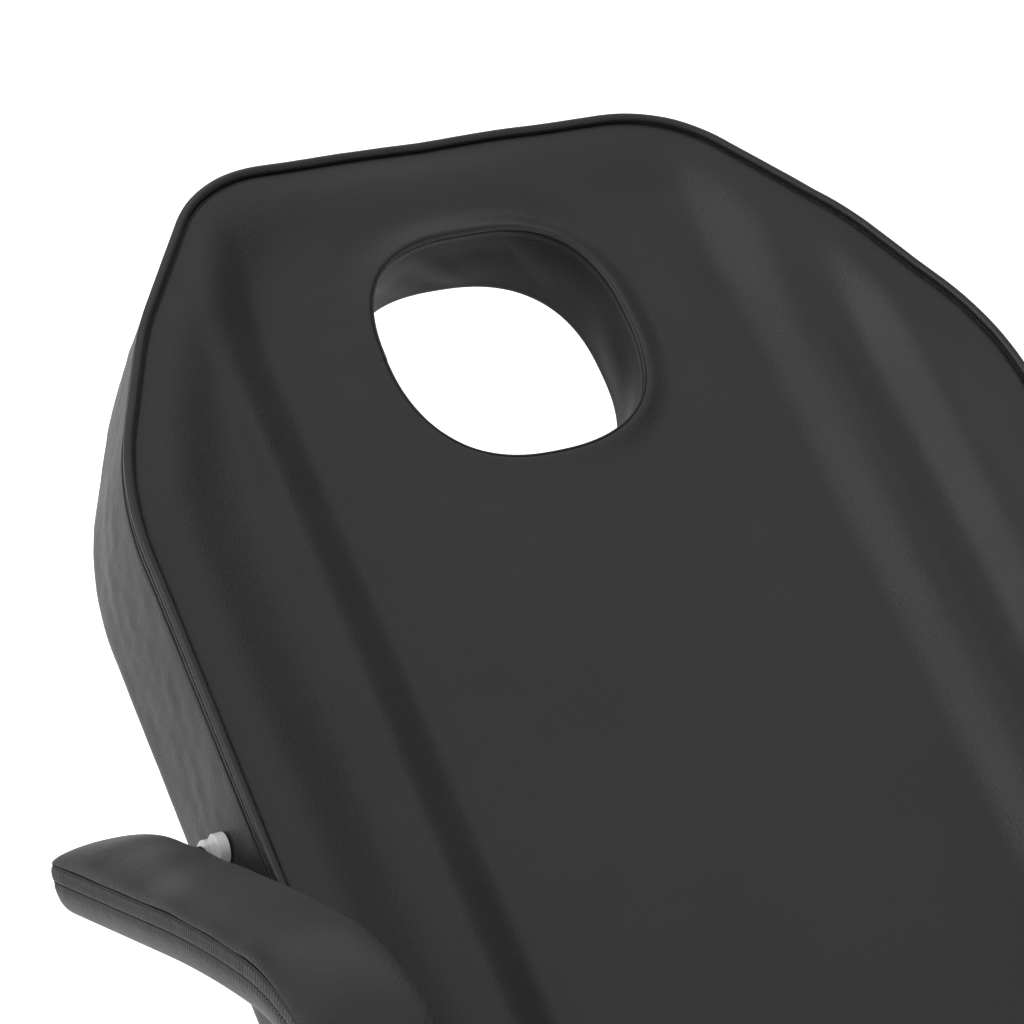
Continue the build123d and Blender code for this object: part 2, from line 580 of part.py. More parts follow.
def make_arm_pins():
    add("arm_rear_pins", [hinge_pin(ARM_Y, ARM_Z, ARM_PIN_R, EAR_IN, CHEEK_OUT + 0.4, 9, 2.6, side)
                          for side in (1, -1)])
    front = (ARM_Y + ARM_SPAN[0], ARM_Z + ARM_SPAN[1])
    for side, tag in SIDES:
        add(f"arm_front_pin_{tag}", hinge_pin(*front, ARM_PIN_R, CHEEK_IN, LINK_OUT + 0.6, 9, 3, side))


SIDES = ((1, "left"), (-1, "right"))

make_base()
make_pump()
make_ram()
make_turntable()
make_seat()
make_pins()
make_pawls()
make_back()
make_leg()
make_leg_cheeks()
make_link_lugs()
make_arm_pins()
for side, tag in SIDES:
    make_seat_ears(side, tag)
    make_back_side(side, tag)
    make_arm(side, tag)

os.makedirs("parts", exist_ok=True)
for name, shape in parts.items():
    shape.label = name
    export_step(shape, f"parts/{name}.step")
print(len(parts), "nodes")
print("arm pivot", round(ARM_Y, 3), round(ARM_Z, 3))
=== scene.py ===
import json
import math

import bmesh
import bpy
import numpy as np
from mathutils import Matrix, Vector


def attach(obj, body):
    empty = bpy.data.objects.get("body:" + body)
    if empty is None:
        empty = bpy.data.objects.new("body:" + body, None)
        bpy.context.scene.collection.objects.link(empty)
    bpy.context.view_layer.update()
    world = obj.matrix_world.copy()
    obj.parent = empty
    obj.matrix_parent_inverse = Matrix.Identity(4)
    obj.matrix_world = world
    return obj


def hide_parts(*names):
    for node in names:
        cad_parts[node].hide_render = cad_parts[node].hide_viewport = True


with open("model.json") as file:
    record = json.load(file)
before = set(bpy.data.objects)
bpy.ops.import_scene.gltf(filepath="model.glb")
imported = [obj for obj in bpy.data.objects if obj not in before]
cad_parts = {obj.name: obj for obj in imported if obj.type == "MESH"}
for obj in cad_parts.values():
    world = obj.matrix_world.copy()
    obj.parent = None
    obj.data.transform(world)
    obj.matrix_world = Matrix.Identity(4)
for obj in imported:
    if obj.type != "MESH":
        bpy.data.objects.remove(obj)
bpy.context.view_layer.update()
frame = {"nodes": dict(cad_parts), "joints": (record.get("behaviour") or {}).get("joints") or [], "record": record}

# Lengths are in metres, angles in radians.
JOINTS = {joint["name"]: joint for joint in frame["joints"]}
SIDES = {"left": 1.0, "right": -1.0}

# ---- driving dimensions, as on the CAD model ----
HALF_WIDTH = 0.300
HALF_PAD = 0.028            # half the padding's thickness, and the radius of its hinge ends
END_SETBACK = 0.036         # from a hinge's axis to where the round end begins
BACK_TILT = math.radians(36.0)
LEG_DROP = math.radians(25.0)
HEAD_LINE = 0.800           # from the hinge to the head end's corners
CROWN = 0.0186              # the head end's middle stands this much further out
HOLE_FROM_HINGE = 0.6595
HOLE_HALF = (0.084, 0.081, 0.086)   # half width, then half length toward the head and toward the hinge
HOLE_POWER = 2.5            # of the superellipse that the hole follows
SEAT_LENGTH = 0.440
LEG_LENGTH = 0.550
BACK_RISE = 0.054           # of the side bolsters over the middle
SEAT_RISE = 0.034
BOARD = 0.015               # thickness of the plywood under each pad


def hinge(name):
    """Place of a joint's axis in the middle plane."""
    return Vector(JOINTS[name]["pos_m"])


BACK_HINGE = hinge("back_recline")
LEG_HINGE = hinge("leg_fold")
ARM_PIVOT = hinge("arm_left_level")

# A section's own frame: x across, d away from its hinge, n out of the padding.
BACK = Matrix.Translation(BACK_HINGE) @ Matrix.Rotation(BACK_TILT, 4, "X")
LEG = Matrix.Translation(LEG_HINGE) @ Matrix.Rotation(LEG_DROP, 4, "X") @ Matrix.Rotation(math.pi, 4, "Z")
SEAT = Matrix.Translation(LEG_HINGE)


# ---- small numeric helpers ----
def smooth(low, high, value):
    """Smooth step from 0 at low to 1 at high."""
    t = np.clip((value - low) / (high - low), 0.0, 1.0)
    return t * t * (3.0 - 2.0 * t)


def bump(distance, width):
    """Bell of height 1."""
    return np.exp(-(distance / width) ** 2)


def waves(x, y, scale, seed):
    """Soft undulation between about -1 and 1: a few crossing sine waves from a seeded draw."""
    draw = np.random.default_rng(seed)
    total = np.zeros_like(x)
    for _ in range(9):
        turn = draw.uniform(0, 2 * math.pi)
        length = scale * draw.uniform(0.55, 1.7)
        phase = draw.uniform(0, 2 * math.pi)
        total += np.sin(2 * math.pi * (x * math.cos(turn) + y * math.sin(turn)) / length + phase)
    return total / 4.5


def unit(vectors):
    """Rows of a matrix made one unit long."""
    return vectors / (np.linalg.norm(vectors, axis=1)[:, None] + 1e-12)


def lengths_along(path):
    """Distance covered at each point of a polyline; columns past the third are left out."""
    return np.concatenate([[0], np.cumsum(np.linalg.norm(np.diff(path[:, :3], axis=0), axis=1))])


BATCH = 2000                # points measured at a time, to keep the memory small


def distance_to(points, path):
    """Distance in plan from each point to a polyline."""
    start, step = path[:-1, :2], np.diff(path[:, :2], axis=0)
    size = (step ** 2).sum(axis=1)
    result = np.empty(len(points))
    for first in range(0, len(points), BATCH):
        gap = points[first:first + BATCH, None, :2] - start[None]
        share = np.clip((gap * step).sum(axis=2) / size, 0, 1)
        miss = gap - share[:, :, None] * step
        result[first:first + BATCH] = np.sqrt((miss ** 2).sum(axis=2).min(axis=1))
    return result


def resample(path, step, closed=False):
    """Points at an even step along a polyline."""
    path = np.asarray(path, float)
    if closed:
        path = np.vstack([path, path[:1]])
    run = lengths_along(path)
    count = max(2, int(round(run[-1] / step)) + 1)
    at = np.linspace(0, run[-1], count)
    even = np.stack([np.interp(at, run, path[:, k]) for k in range(path.shape[1])], axis=1)
    return even[:-1] if closed else even


# ---- mesh helpers ----
def grid_faces(rows, columns, wrap=False):
    """Quads of a grid whose vertices are numbered row by row."""
    faces = []
    for i in range(rows - 1):
        for j in range(columns if wrap else columns - 1):
            k = (j + 1) % columns
            near, far = i * columns, (i + 1) * columns
            faces.append((near + j, near + k, far + k, far + j))
    return faces


class Shell:
    """Collects grids of vertices and joins them where they meet."""

    def __init__(self):
        self.points, self.faces, self.count = [], [], 0

    def grid(self, points, wrap=False):
        """Add a grid of shape (rows, columns, 3)."""
        rows, columns = points.shape[:2]
        self.faces += [tuple(i + self.count for i in face) for face in grid_faces(rows, columns, wrap)]
        self.points.append(points.reshape(-1, 3))
        self.count += rows * columns

    def fan(self, loop):
        """Close a loop of points with triangles to its middle; the first point is repeated at the end."""
        self.grid(np.asarray([loop, np.repeat(loop[:-1].mean(axis=0)[None], len(loop), axis=0)]))

    def tube(self, rings):
        """Add closed rings and close both ends."""
        self.grid(rings, wrap=True)
        for ring in (rings[0], rings[-1]):
            self.fan(np.vstack([ring, ring[:1]]))

    def build(self, name, place=Matrix.Identity(4), weld=2e-5):
        """Make the object, in the row frame."""
        mesh = bpy.data.meshes.new(name)
        points = np.vstack(self.points)
        mesh.from_pydata(points.tolist(), [], self.faces)
        obj = bpy.data.objects.new(name, mesh)
        bpy.context.scene.collection.objects.link(obj)
        join_points(obj, weld)
        mesh.transform(place)
        mesh.polygons.foreach_set("use_smooth", [True] * len(mesh.polygons))
        mesh.update()
        return obj


def join_points(obj, distance):
    """Weld, drop flat faces and turn the faces outward."""
    work = bmesh.new()
    work.from_mesh(obj.data)
    bmesh.ops.remove_doubles(work, verts=work.verts, dist=distance)
    bmesh.ops.dissolve_degenerate(work, edges=work.edges, dist=distance / 2)
    bmesh.ops.recalc_face_normals(work, faces=work.faces)
    work.to_mesh(obj.data)
    work.free()


OFF_AXIS = np.array([0.31, 0.17, 0.93])     # a direction that no path here runs along


def frames_along(path, closed):
    """Tangent, and two directions across it, at each point of a path."""
    if closed:
        tangent = np.roll(path, -1, axis=0) - np.roll(path, 1, axis=0)
    else:
        tangent = np.gradient(path, axis=0)
    tangent = unit(tangent)
    across = unit(np.cross(tangent, OFF_AXIS))
    return tangent, across, np.cross(tangent, across)


LUMP_POINTS = 9.0           # points of the path from one lump of a welt to the next


def welt(name, path, radius, place, closed=False, sides=12, lumps=0.0):
    """Round cord sewn into a seam: a tube along a path, with faint lumps where the cover gathers."""
    path = np.asarray(path, float)
    _, across, up = frames_along(path, closed)
    run = np.arange(len(path)) * 1.0
    size = radius * (1 + lumps * waves(run, run * 0.0, LUMP_POINTS, 5))
    if not closed:
        ends = np.minimum(run, run[::-1])
        size = size * np.clip(np.sqrt((ends + 0.3) / 3.0), 0, 1)
    turn = np.linspace(0, 2 * math.pi, sides, endpoint=False)
    cos, sin = np.cos(turn)[None, :, None], np.sin(turn)[None, :, None]
    rings = path[:, None, :] + size[:, None, None] * (cos * across[:, None, :] + sin * up[:, None, :])
    shell = Shell()
    if closed:
        shell.grid(np.concatenate([rings, rings[:1]]), wrap=True)
    else:
        shell.tube(rings)
    return shell.build(name, place)


# Rings of one stitch: share of its length, of its radius, and how far it stands out, in radii.
STITCH = ((-0.5, 0.35, -0.6), (-0.3, 0.9, 0.1), (0.0, 1.0, 0.35), (0.3, 0.9, 0.1), (0.5, 0.35, -0.6))


def stitches(name, path, normals, pitch, length, radius, place=Matrix.Identity(4)):
    """Row of thread stitches along a closed path: short rounded beads that dip at their ends."""
    both = resample(np.hstack([path, normals]), pitch, True)
    marks, out = both[:, :3], both[:, 3:]
    tangent, _, _ = frames_along(marks, True)
    turn = np.linspace(0, 2 * math.pi, 6, endpoint=False)
    shell = Shell()
    for centre, along, face in zip(marks, tangent, out):
        side = np.cross(along, face)
        side /= np.linalg.norm(side) + 1e-12
        circle = np.cos(turn)[:, None] * side + np.sin(turn)[:, None] * face
        rings = np.asarray([centre + along * length * t + face * radius * lift + radius * size * circle
                            for t, size, lift in STITCH])
        shell.tube(rings)
    return shell.build(name, place, weld=1e-7)


# ---- materials ----
def surface(name, scale=(1, 1, 1)):
    """A new material with its node tree, its shader and its coordinates in metres."""
    material = bpy.data.materials.new(name)
    material.use_nodes = True
    tree = material.node_tree
    return material, tree, tree.nodes["Principled BSDF"], object_coordinates(tree, scale)


def set_inputs(node, values):
    """Constant values of a node's sockets."""
    for key, value in dict(values).items():
        node.inputs[key].default_value = value


def add_node(tree, kind, inputs=(), **settings):
    """A shader node with its settings and constant values."""
    node = tree.nodes.new(kind)
    for key, value in settings.items():
        setattr(node, key, value)
    set_inputs(node, inputs)
    return node


def object_coordinates(tree, scale):
    """Object coordinates in metres, through a mapping."""
    source = add_node(tree, "ShaderNodeTexCoord")
    mapping = add_node(tree, "ShaderNodeMapping", {"Scale": scale})
    tree.links.new(source.outputs["Object"], mapping.inputs["Vector"])
    return mapping.outputs["Vector"]


def noise(tree, place, scale, detail, **more):
    """Noise of one scale at the given coordinates."""
    node = add_node(tree, "ShaderNodeTexNoise", {"Scale": scale, "Detail": detail, **more})
    tree.links.new(place, node.inputs["Vector"])
    return node.outputs["Fac"]


def ramp(tree, source, low, high, from_min, from_max):
    """Map a value to a range."""
    node = add_node(tree, "ShaderNodeMapRange", {"From Min": from_min, "From Max": from_max,
                                                 "To Min": low, "To Max": high})
    tree.links.new(source, node.inputs["Value"])
    return node.outputs["Result"]


def tint(tree, shader, factor, first, second):
    """Base colour between two colours."""
    node = add_node(tree, "ShaderNodeMix", {"A": (*first, 1), "B": (*second, 1)}, data_type="RGBA")
    tree.links.new(factor, node.inputs["Factor"])
    tree.links.new(node.outputs["Result"], shader.inputs["Base Color"])


def roughen(tree, shader, source, low, high, from_min, from_max):
    """Roughness between two values."""
    tree.links.new(ramp(tree, source, low, high, from_min, from_max), shader.inputs["Roughness"])


def bumps(tree, shader, layers):
    """Chain of bump nodes, each (height socket, distance in metres, strength)."""
    previous = None
    for height, distance, strength in layers:
        node = add_node(tree, "ShaderNodeBump", {"Strength": strength, "Distance": distance})
        tree.links.new(height, node.inputs["Height"])
        if previous is not None:
            tree.links.new(previous, node.inputs["Normal"])
        previous = node.outputs["Normal"]
    tree.links.new(previous, shader.inputs["Normal"])


def leatherette(name, tone=0.0125, rough=0.47, grain=1.0, shine=0.42):
    """Black coated fabric: fine pebbled grain, soft creases, slightly uneven sheen."""
    material, tree, shader, place = surface(name)
    pebble = add_node(tree, "ShaderNodeTexVoronoi", {"Scale": 620.0, "Randomness": 0.95, "Smoothness": 0.6},
                      feature="SMOOTH_F1")
    tree.links.new(place, pebble.inputs["Vector"])
    fine = noise(tree, place, 1500.0, 3.0, Roughness=0.6)
    crease = noise(tree, place, 46.0, 5.0, Roughness=0.62, Distortion=0.7)
    cloud = noise(tree, place, 9.0, 4.0, Roughness=0.55)
    light = tuple(tone * k for k in (1.25, 1.25, 1.28))
    dark = tuple(tone * k for k in (0.80, 0.80, 0.82))
    tint(tree, shader, ramp(tree, cloud, 0, 1, 0.3, 0.7), dark, light)
    roughen(tree, shader, cloud, rough - 0.05, rough + 0.07, 0.3, 0.7)
    set_inputs(shader, {"Specular IOR Level": shine, "Sheen Weight": 0.04, "Sheen Roughness": 0.5})
    bumps(tree, shader, [(crease, 0.0016 * grain, 0.16), (pebble.outputs["Distance"], 0.00040 * grain, 0.52),
                         (fine, 0.00012 * grain, 0.35)])
    return material


def paint(name, colour, rough=0.3, coat=0.15):
    """Powder-coated steel: fine orange peel, slight soiling and rub marks."""
    material, tree, shader, place = surface(name)
    peel = noise(tree, place, 900.0, 2.0)
    soil = noise(tree, place, 14.0, 6.0, Roughness=0.65)
    rub = noise(tree, place, 160.0, 4.0, Distortion=1.5)
    worn = tuple(k * 0.86 for k in colour)
    tint(tree, shader, ramp(tree, soil, 0, 1, 0.42, 0.75), colour, worn)
    roughen(tree, shader, rub, rough - 0.06, rough + 0.14, 0.35, 0.7)
    set_inputs(shader, {"Coat Weight": coat, "Coat Roughness": 0.18})
    bumps(tree, shader, [(peel, 0.00018, 0.30), (rub, 0.0002, 0.08)])
    return material


def metal(name, colour, rough, stretch=(1, 1, 1)):
    """Bare or plated metal with fine drawn scratches."""
    material, tree, shader, place = surface(name, stretch)
    scratch = noise(tree, place, 700.0, 3.0, Roughness=0.7)
    smear = noise(tree, place, 22.0, 5.0)
    dull = tuple(k * 0.82 for k in colour)
    tint(tree, shader, ramp(tree, smear, 0, 1, 0.35, 0.7), colour, dull)
    roughen(tree, shader, scratch, rough * 0.7, rough * 1.5, 0.3, 0.7)
    set_inputs(shader, {"Metallic": 1.0})
    bumps(tree, shader, [(scratch, 0.00006, 0.25)])
    return material


def moulded(name, tone, rough, spark=1.0):
    """Moulded black plastic or rubber with a spark-eroded surface."""
    material, tree, shader, place = surface(name)
    erode = noise(tree, place, 1300.0, 3.0)
    dust = noise(tree, place, 30.0, 6.0, Roughness=0.7)
    low = (tone, tone, tone * 1.03)
    high = (tone * 1.8 + 0.006, tone * 1.8 + 0.006, tone * 1.8 + 0.005)
    tint(tree, shader, ramp(tree, dust, 0, 1, 0.45, 0.8), low, high)
    roughen(tree, shader, dust, rough - 0.05, rough + 0.12, 0.35, 0.7)
    bumps(tree, shader, [(erode, 0.0002 * spark, 0.4)])
    return material


def plywood(name):
    """Birch plywood: pale wood with long grain and fine pores."""
    material, tree, shader, place = surface(name, (1.0, 0.06, 1.0))
    grain = noise(tree, place, 120.0, 6.0, Distortion=1.2)
    pore = noise(tree, place, 900.0, 2.0)
    tint(tree, shader, ramp(tree, grain, 0, 1, 0.3, 0.7), (0.50, 0.34, 0.19), (0.72, 0.55, 0.36))
    roughen(tree, shader, pore, 0.55, 0.8, 0.3, 0.7)
    bumps(tree, shader, [(grain, 0.0004, 0.25), (pore, 0.0002, 0.3)])
    return material


def thread(name):
    """Twisted black sewing thread."""
    material, tree, shader, place = surface(name)
    twist = add_node(tree, "ShaderNodeTexWave", {"Scale": 1400.0, "Distortion": 1.0, "Detail": 1.0})
    tree.links.new(place, twist.inputs["Vector"])
    # Painted shade and highlight: the colour follows the twist's relief, darker in the grooves between the plies
    # and lighter on their crests.
    tint(tree, shader, twist.outputs["Fac"], (0.008, 0.008, 0.008), (0.028, 0.028, 0.028))
    set_inputs(shader, {"Roughness": 0.7})
    bumps(tree, shader, [(twist.outputs["Fac"], 0.0001, 0.5)])
    return material


LEATHER = leatherette("black_leatherette")
WELT_LEATHER = leatherette("welt_leatherette", tone=0.0115, rough=0.43, grain=0.7)
LINING = leatherette("lining_leatherette", tone=0.006, rough=0.60, grain=0.8, shine=0.16)
THREAD = thread("black_thread")


def dress(obj, material, body, slot, *nodes, fill=None):
    """Material and body of one new piece; hides the given CAD nodes."""
    obj.data.materials.clear()
    obj.data.materials.append(material)
    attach(obj, body)
    if nodes:
        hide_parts(*nodes)
    return obj


# ---- shape of the padding ----
EDGE_POWER = 1.4            # how fast the backrest's outer edge climbs toward its sides
WELT_R = 0.0028
WELT_INSET = 0.0013         # centre of the welt inside the pad's outline
WELT_LIFT = 0.0008          # and above the face
GROOVE = 0.0045             # the face ends this far inside the outline, behind the welt
ROLL_R = 0.0034             # radius of the roll down behind the welt
GROOVE_DEPTH = 0.0085
EDGE_SEAM_DROP = 0.0088     # the seam of the side wall below the welt
SEAM_R = 0.0005             # thread
# Distances of the face's rows from an edge.
FACE_ROW = np.array([0.0, 0.2, 0.5, 0.9, 1.5, 2.3, 3.3, 4.5, 6.0, 8.0, 11.0, 15.0]) / 1000


def step_profile(across, steps):
    """Sum of smooth steps, each (start, end, rise)."""
    total = np.zeros_like(across)
    for start, end, rise in steps:
        total = total + rise * smooth(start, end, across)
    return total


# Steps of a bolster from the middle out: where each starts and ends, and its share of the full height.
# The two bolsters have settled differently.
STEPS_MINUS = ((0.150, 0.197, 0.44), (0.195, 0.207, -0.026), (0.200, 0.310, 0.614))
STEPS_PLUS = ((0.155, 0.196, 0.37), (0.194, 0.216, -0.045), (0.219, 0.250, 0.375), (0.250, 0.304, 0.30))


def bolster(x, rise):
    """Height of the face over its flat middle."""
    across = np.abs(x)
    return rise * np.where(x > 0, step_profile(across, STEPS_PLUS), step_profile(across, STEPS_MINUS))


def ends_fade(d, length, far):
    """The bolsters melt into the round ends at the hinges."""
    start, end = END_SETBACK + 0.008, END_SETBACK + 0.120
    share = smooth(start, end, d)
    if far:
        share = share * smooth(start, end, length - d)
    return share


def edge_roll(distance):
    """Drop of the cover as it rolls down behind the welt; distance is from the pad's outline."""
    into = np.clip(GROOVE + ROLL_R - distance, 0, ROLL_R)
    roll = -(ROLL_R - np.sqrt(ROLL_R ** 2 - into ** 2))
    return roll - (GROOVE_DEPTH - ROLL_R) * (into >= ROLL_R * 0.9999)


def soft_crown(distance):
    """The cover swells a little beside the welt and the foam softens toward it."""
    return 0.0022 * bump(distance - 0.030, 0.018) - 0.0020 * bump(distance, 0.016)


def fillet_path(points, radii, step=0.002):
    """Polyline with its inner corners rounded by tangent arcs."""
    path = [np.array(points[0], float)]
    for before, corner, after, radius in zip(points, points[1:], points[2:], radii):
        before, corner, after = (np.array(p, float) for p in (before, corner, after))
        a = (before - corner) / np.linalg.norm(before - corner)
        b = (after - corner) / np.linalg.norm(after - corner)
        half = math.acos(np.clip(a @ b, -1, 1)) / 2
        middle = corner + (a + b) / np.linalg.norm(a + b) * radius / math.sin(half)
        start = corner + a * radius / math.tan(half) - middle
        end = corner + b * radius / math.tan(half) - middle
        sweep = math.pi - 2 * half
        steps = max(4, int(radius * sweep / step))
        for i in range(steps + 1):
            t = i / steps
            toward = start * math.sin((1 - t) * sweep) + end * math.sin(t * sweep)
            path.append(middle + toward / math.sin(sweep))
    path.append(np.array(points[-1], float))
    return np.array(path)


def inward(plan, inset):
    """Plan path moved toward the pad; the path runs anticlockwise seen from the face."""
    tangent = unit(np.gradient(plan, axis=0))
    return plan + inset * np.stack([-tangent[:, 1], tangent[:, 0]], axis=1)


SPLIT = 0.400               # the backrest's sides are straight up to here
# Corners of the head end as (x, d, radius).
HEAD_CORNERS = ((HALF_WIDTH, 0.573, 0.212), (0.2447, 0.686, 0.240), (0.1638, HEAD_LINE, 0.100))
CROWN_RADIUS = 0.600


def head_outline():
    """Plan (x, d) of the backrest above the split line, from its +X side over the crown to its -X side."""
    half = [(HALF_WIDTH, SPLIT)] + [(x, d) for x, d, _ in HEAD_CORNERS]
    radii = [r for _, _, r in HEAD_CORNERS]
    points = half + [(0.0, HEAD_LINE + CROWN)] + [(-x, d) for x, d in reversed(half)]
    path = fillet_path(points, radii + [CROWN_RADIUS] + radii[::-1])
    return resample(path, 0.003)


def hole_outline(count=720):
    """Plan (x, d) of the face hole."""
    turn = np.linspace(0, 2 * math.pi, count, endpoint=False)
    c, s = np.cos(turn), np.sin(turn)
    length = np.where(s > 0, HOLE_HALF[1], HOLE_HALF[2])
    x = np.sign(c) * np.abs(c) ** (2 / HOLE_POWER) * HOLE_HALF[0]
    d = np.sign(s) * np.abs(s) ** (2 / HOLE_POWER) * length
    return resample(np.stack([x, HOLE_FROM_HINGE + d], axis=1), 0.0018, True)


HOLE = hole_outline()
HOLE_CENTRE = np.array([0.0, HOLE_FROM_HINGE])
HEAD_EDGE = head_outline()
HEAD_COLUMNS = 151          # vertices across the backrest
SIDE_STATIONS = np.linspace(END_SETBACK, SPLIT, 97)


def side_run(half):
    """Straight side of a pad, from the hinge end up."""
    return np.stack([np.full(len(SIDE_STATIONS), half), SIDE_STATIONS], axis=1)


BACK_PLAN = np.vstack([side_run(HALF_WIDTH), HEAD_EDGE[1:-1], side_run(-HALF_WIDTH)[::-1]])
FACE_HALF = HALF_WIDTH - GROOVE
FACE_EDGE = inward(HEAD_EDGE, GROOVE)
FACE_EDGE[0], FACE_EDGE[-1] = (FACE_HALF, SPLIT), (-FACE_HALF, SPLIT)
BACK_INNER = np.vstack([side_run(FACE_HALF), FACE_EDGE[1:-1], side_run(-FACE_HALF)[::-1]])


def edge_distance(x, d):
    """Distance from the backrest's outline."""
    straight = HALF_WIDTH - np.abs(x)
    return np.where(d > SPLIT, distance_to(np.stack([x, d], axis=1), HEAD_EDGE), straight)


def rim_swell(x, d):
    """The cover stands up round the face hole, most on its head side and its +X side."""
    away = distance_to(np.stack([x, d], axis=1), np.vstack([HOLE, HOLE[:1]]))
    angle = np.arctan2(d - HOLE_FROM_HINGE, x)
    head_side = smooth(-0.5, 0.9, np.sin(angle)) * 0.5 + smooth(-0.3, 0.8, np.cos(angle)) * 0.5
    lift = 0.0020 + 0.0062 * head_side + 0.0008 * waves(angle * 0.05, angle * 0.0, 0.05, 7)
    moat = -0.0042 * head_side * bump(away - 0.020, 0.011)
    pucker = -0.0016 * bump(angle - 0.95, 0.10) * bump(away - 0.012, 0.008)
    return lift * np.exp(-(away / 0.0115) ** 1.6) + moat + pucker - 0.0022 * bump(away, 0.0016)


def back_base(x, d):
    """Height of the backrest's face before it rolls down behind the welt."""
    edge = edge_distance(x, d)
    rim = BACK_RISE * (np.abs(x) / HALF_WIDTH) ** EDGE_POWER
    inner = smooth(0.0, 0.078, edge)
    relief = rim * (1 - inner) + bolster(x, BACK_RISE) * inner
    relief = relief + rim_swell(x, d) + soft_crown(edge)
    relief = relief + 0.0006 * waves(x, d, 0.17, 11) + 0.00018 * waves(x, d, 0.05, 12)
    return HALF_PAD + relief * ends_fade(d, HEAD_LINE, False)


def back_face(x, d):
    """Height of the backrest's face."""
    return back_base(x, d) + edge_roll(edge_distance(x, d)) * hinge_share(d)


def hinge_share(d):
    """The groove behind the welt grows shallower round the hinge end."""
    return 0.45 + 0.55 * smooth(END_SETBACK, END_SETBACK + 0.03, d)


def plain_face(length, rise, far_round):
    """Height functions of a seat or leg face: before and after the roll behind the welt."""
    def distance(x, d):
        side = HALF_WIDTH - np.abs(x)
        return side if far_round else np.minimum(side, rounded_corner_distance(x, d, length))

    def base(x, d):
        edge = distance(x, d)
        relief = bolster(x, rise) + soft_crown(edge)
        relief = relief + 0.0006 * waves(x, d, 0.17, 21) + 0.00018 * waves(x, d, 0.05, 22)
        return HALF_PAD + relief * ends_fade(d, length, far_round)

    def face(x, d):
        share = hinge_share(d) * (hinge_share(length - d) if far_round else 1.0)
        return base(x, d) + edge_roll(distance(x, d)) * share

    return base, face


FOOT_CORNER = 0.070


def rounded_corner_distance(x, d, length):
    """Distance from the outline of a foot end with round corners."""
    from_side = HALF_WIDTH - np.abs(x)
    from_foot = length - d
    corner = np.hypot(FOOT_CORNER - from_side, FOOT_CORNER - from_foot)
    inside = (from_side < FOOT_CORNER) & (from_foot < FOOT_CORNER)
    return np.where(inside, FOOT_CORNER - corner, np.minimum(from_side, from_foot))


def cross_stations(half, columns):
    """Places across a pad, close together beside both edges."""
    fine = half - FACE_ROW
    middle = np.linspace(fine[-1], -fine[-1], columns - 2 * len(FACE_ROW) + 2)[1:-1]
    return np.concatenate([-fine, middle[::-1], fine[::-1]])


END_STEPS = 13              # rows of a hinge end between its tip and the face


def end_row(x, turn):
    """One row of the cover round a hinge end: turn is 0 at the face and pi at the underside."""
    groove = edge_roll(HALF_WIDTH - np.abs(x)) * hinge_share(END_SETBACK) * (1 - smooth(1.7, 3.0, turn))
    puff = 0.0006 * waves(x, np.full_like(x, turn * 0.03), 0.07, 31) * math.sin(turn)
    puff = puff * smooth(0.0, 0.02, HALF_WIDTH - GROOVE - np.abs(x))
    reach = HALF_PAD + puff + groove
    return np.stack([x, END_SETBACK - reach * math.sin(turn), reach * math.cos(turn)], axis=1)


def round_end(x):
    """Cover round a hinge end, from the face down to the underside."""
    return np.asarray([end_row(x, turn) for turn in np.linspace(0, math.pi, 2 * END_STEPS + 1)])


# ---- side walls ----
BOARD_INSET = 0.0112        # of a back or leg board inside the pad's outline, as the hem goes round it
SEAT_BOARD_INSET = 0.0092
HEM_START = END_SETBACK + 0.010
CAP_TURNS = np.linspace(math.pi / 2, 0, END_STEPS + 1)[:-1]


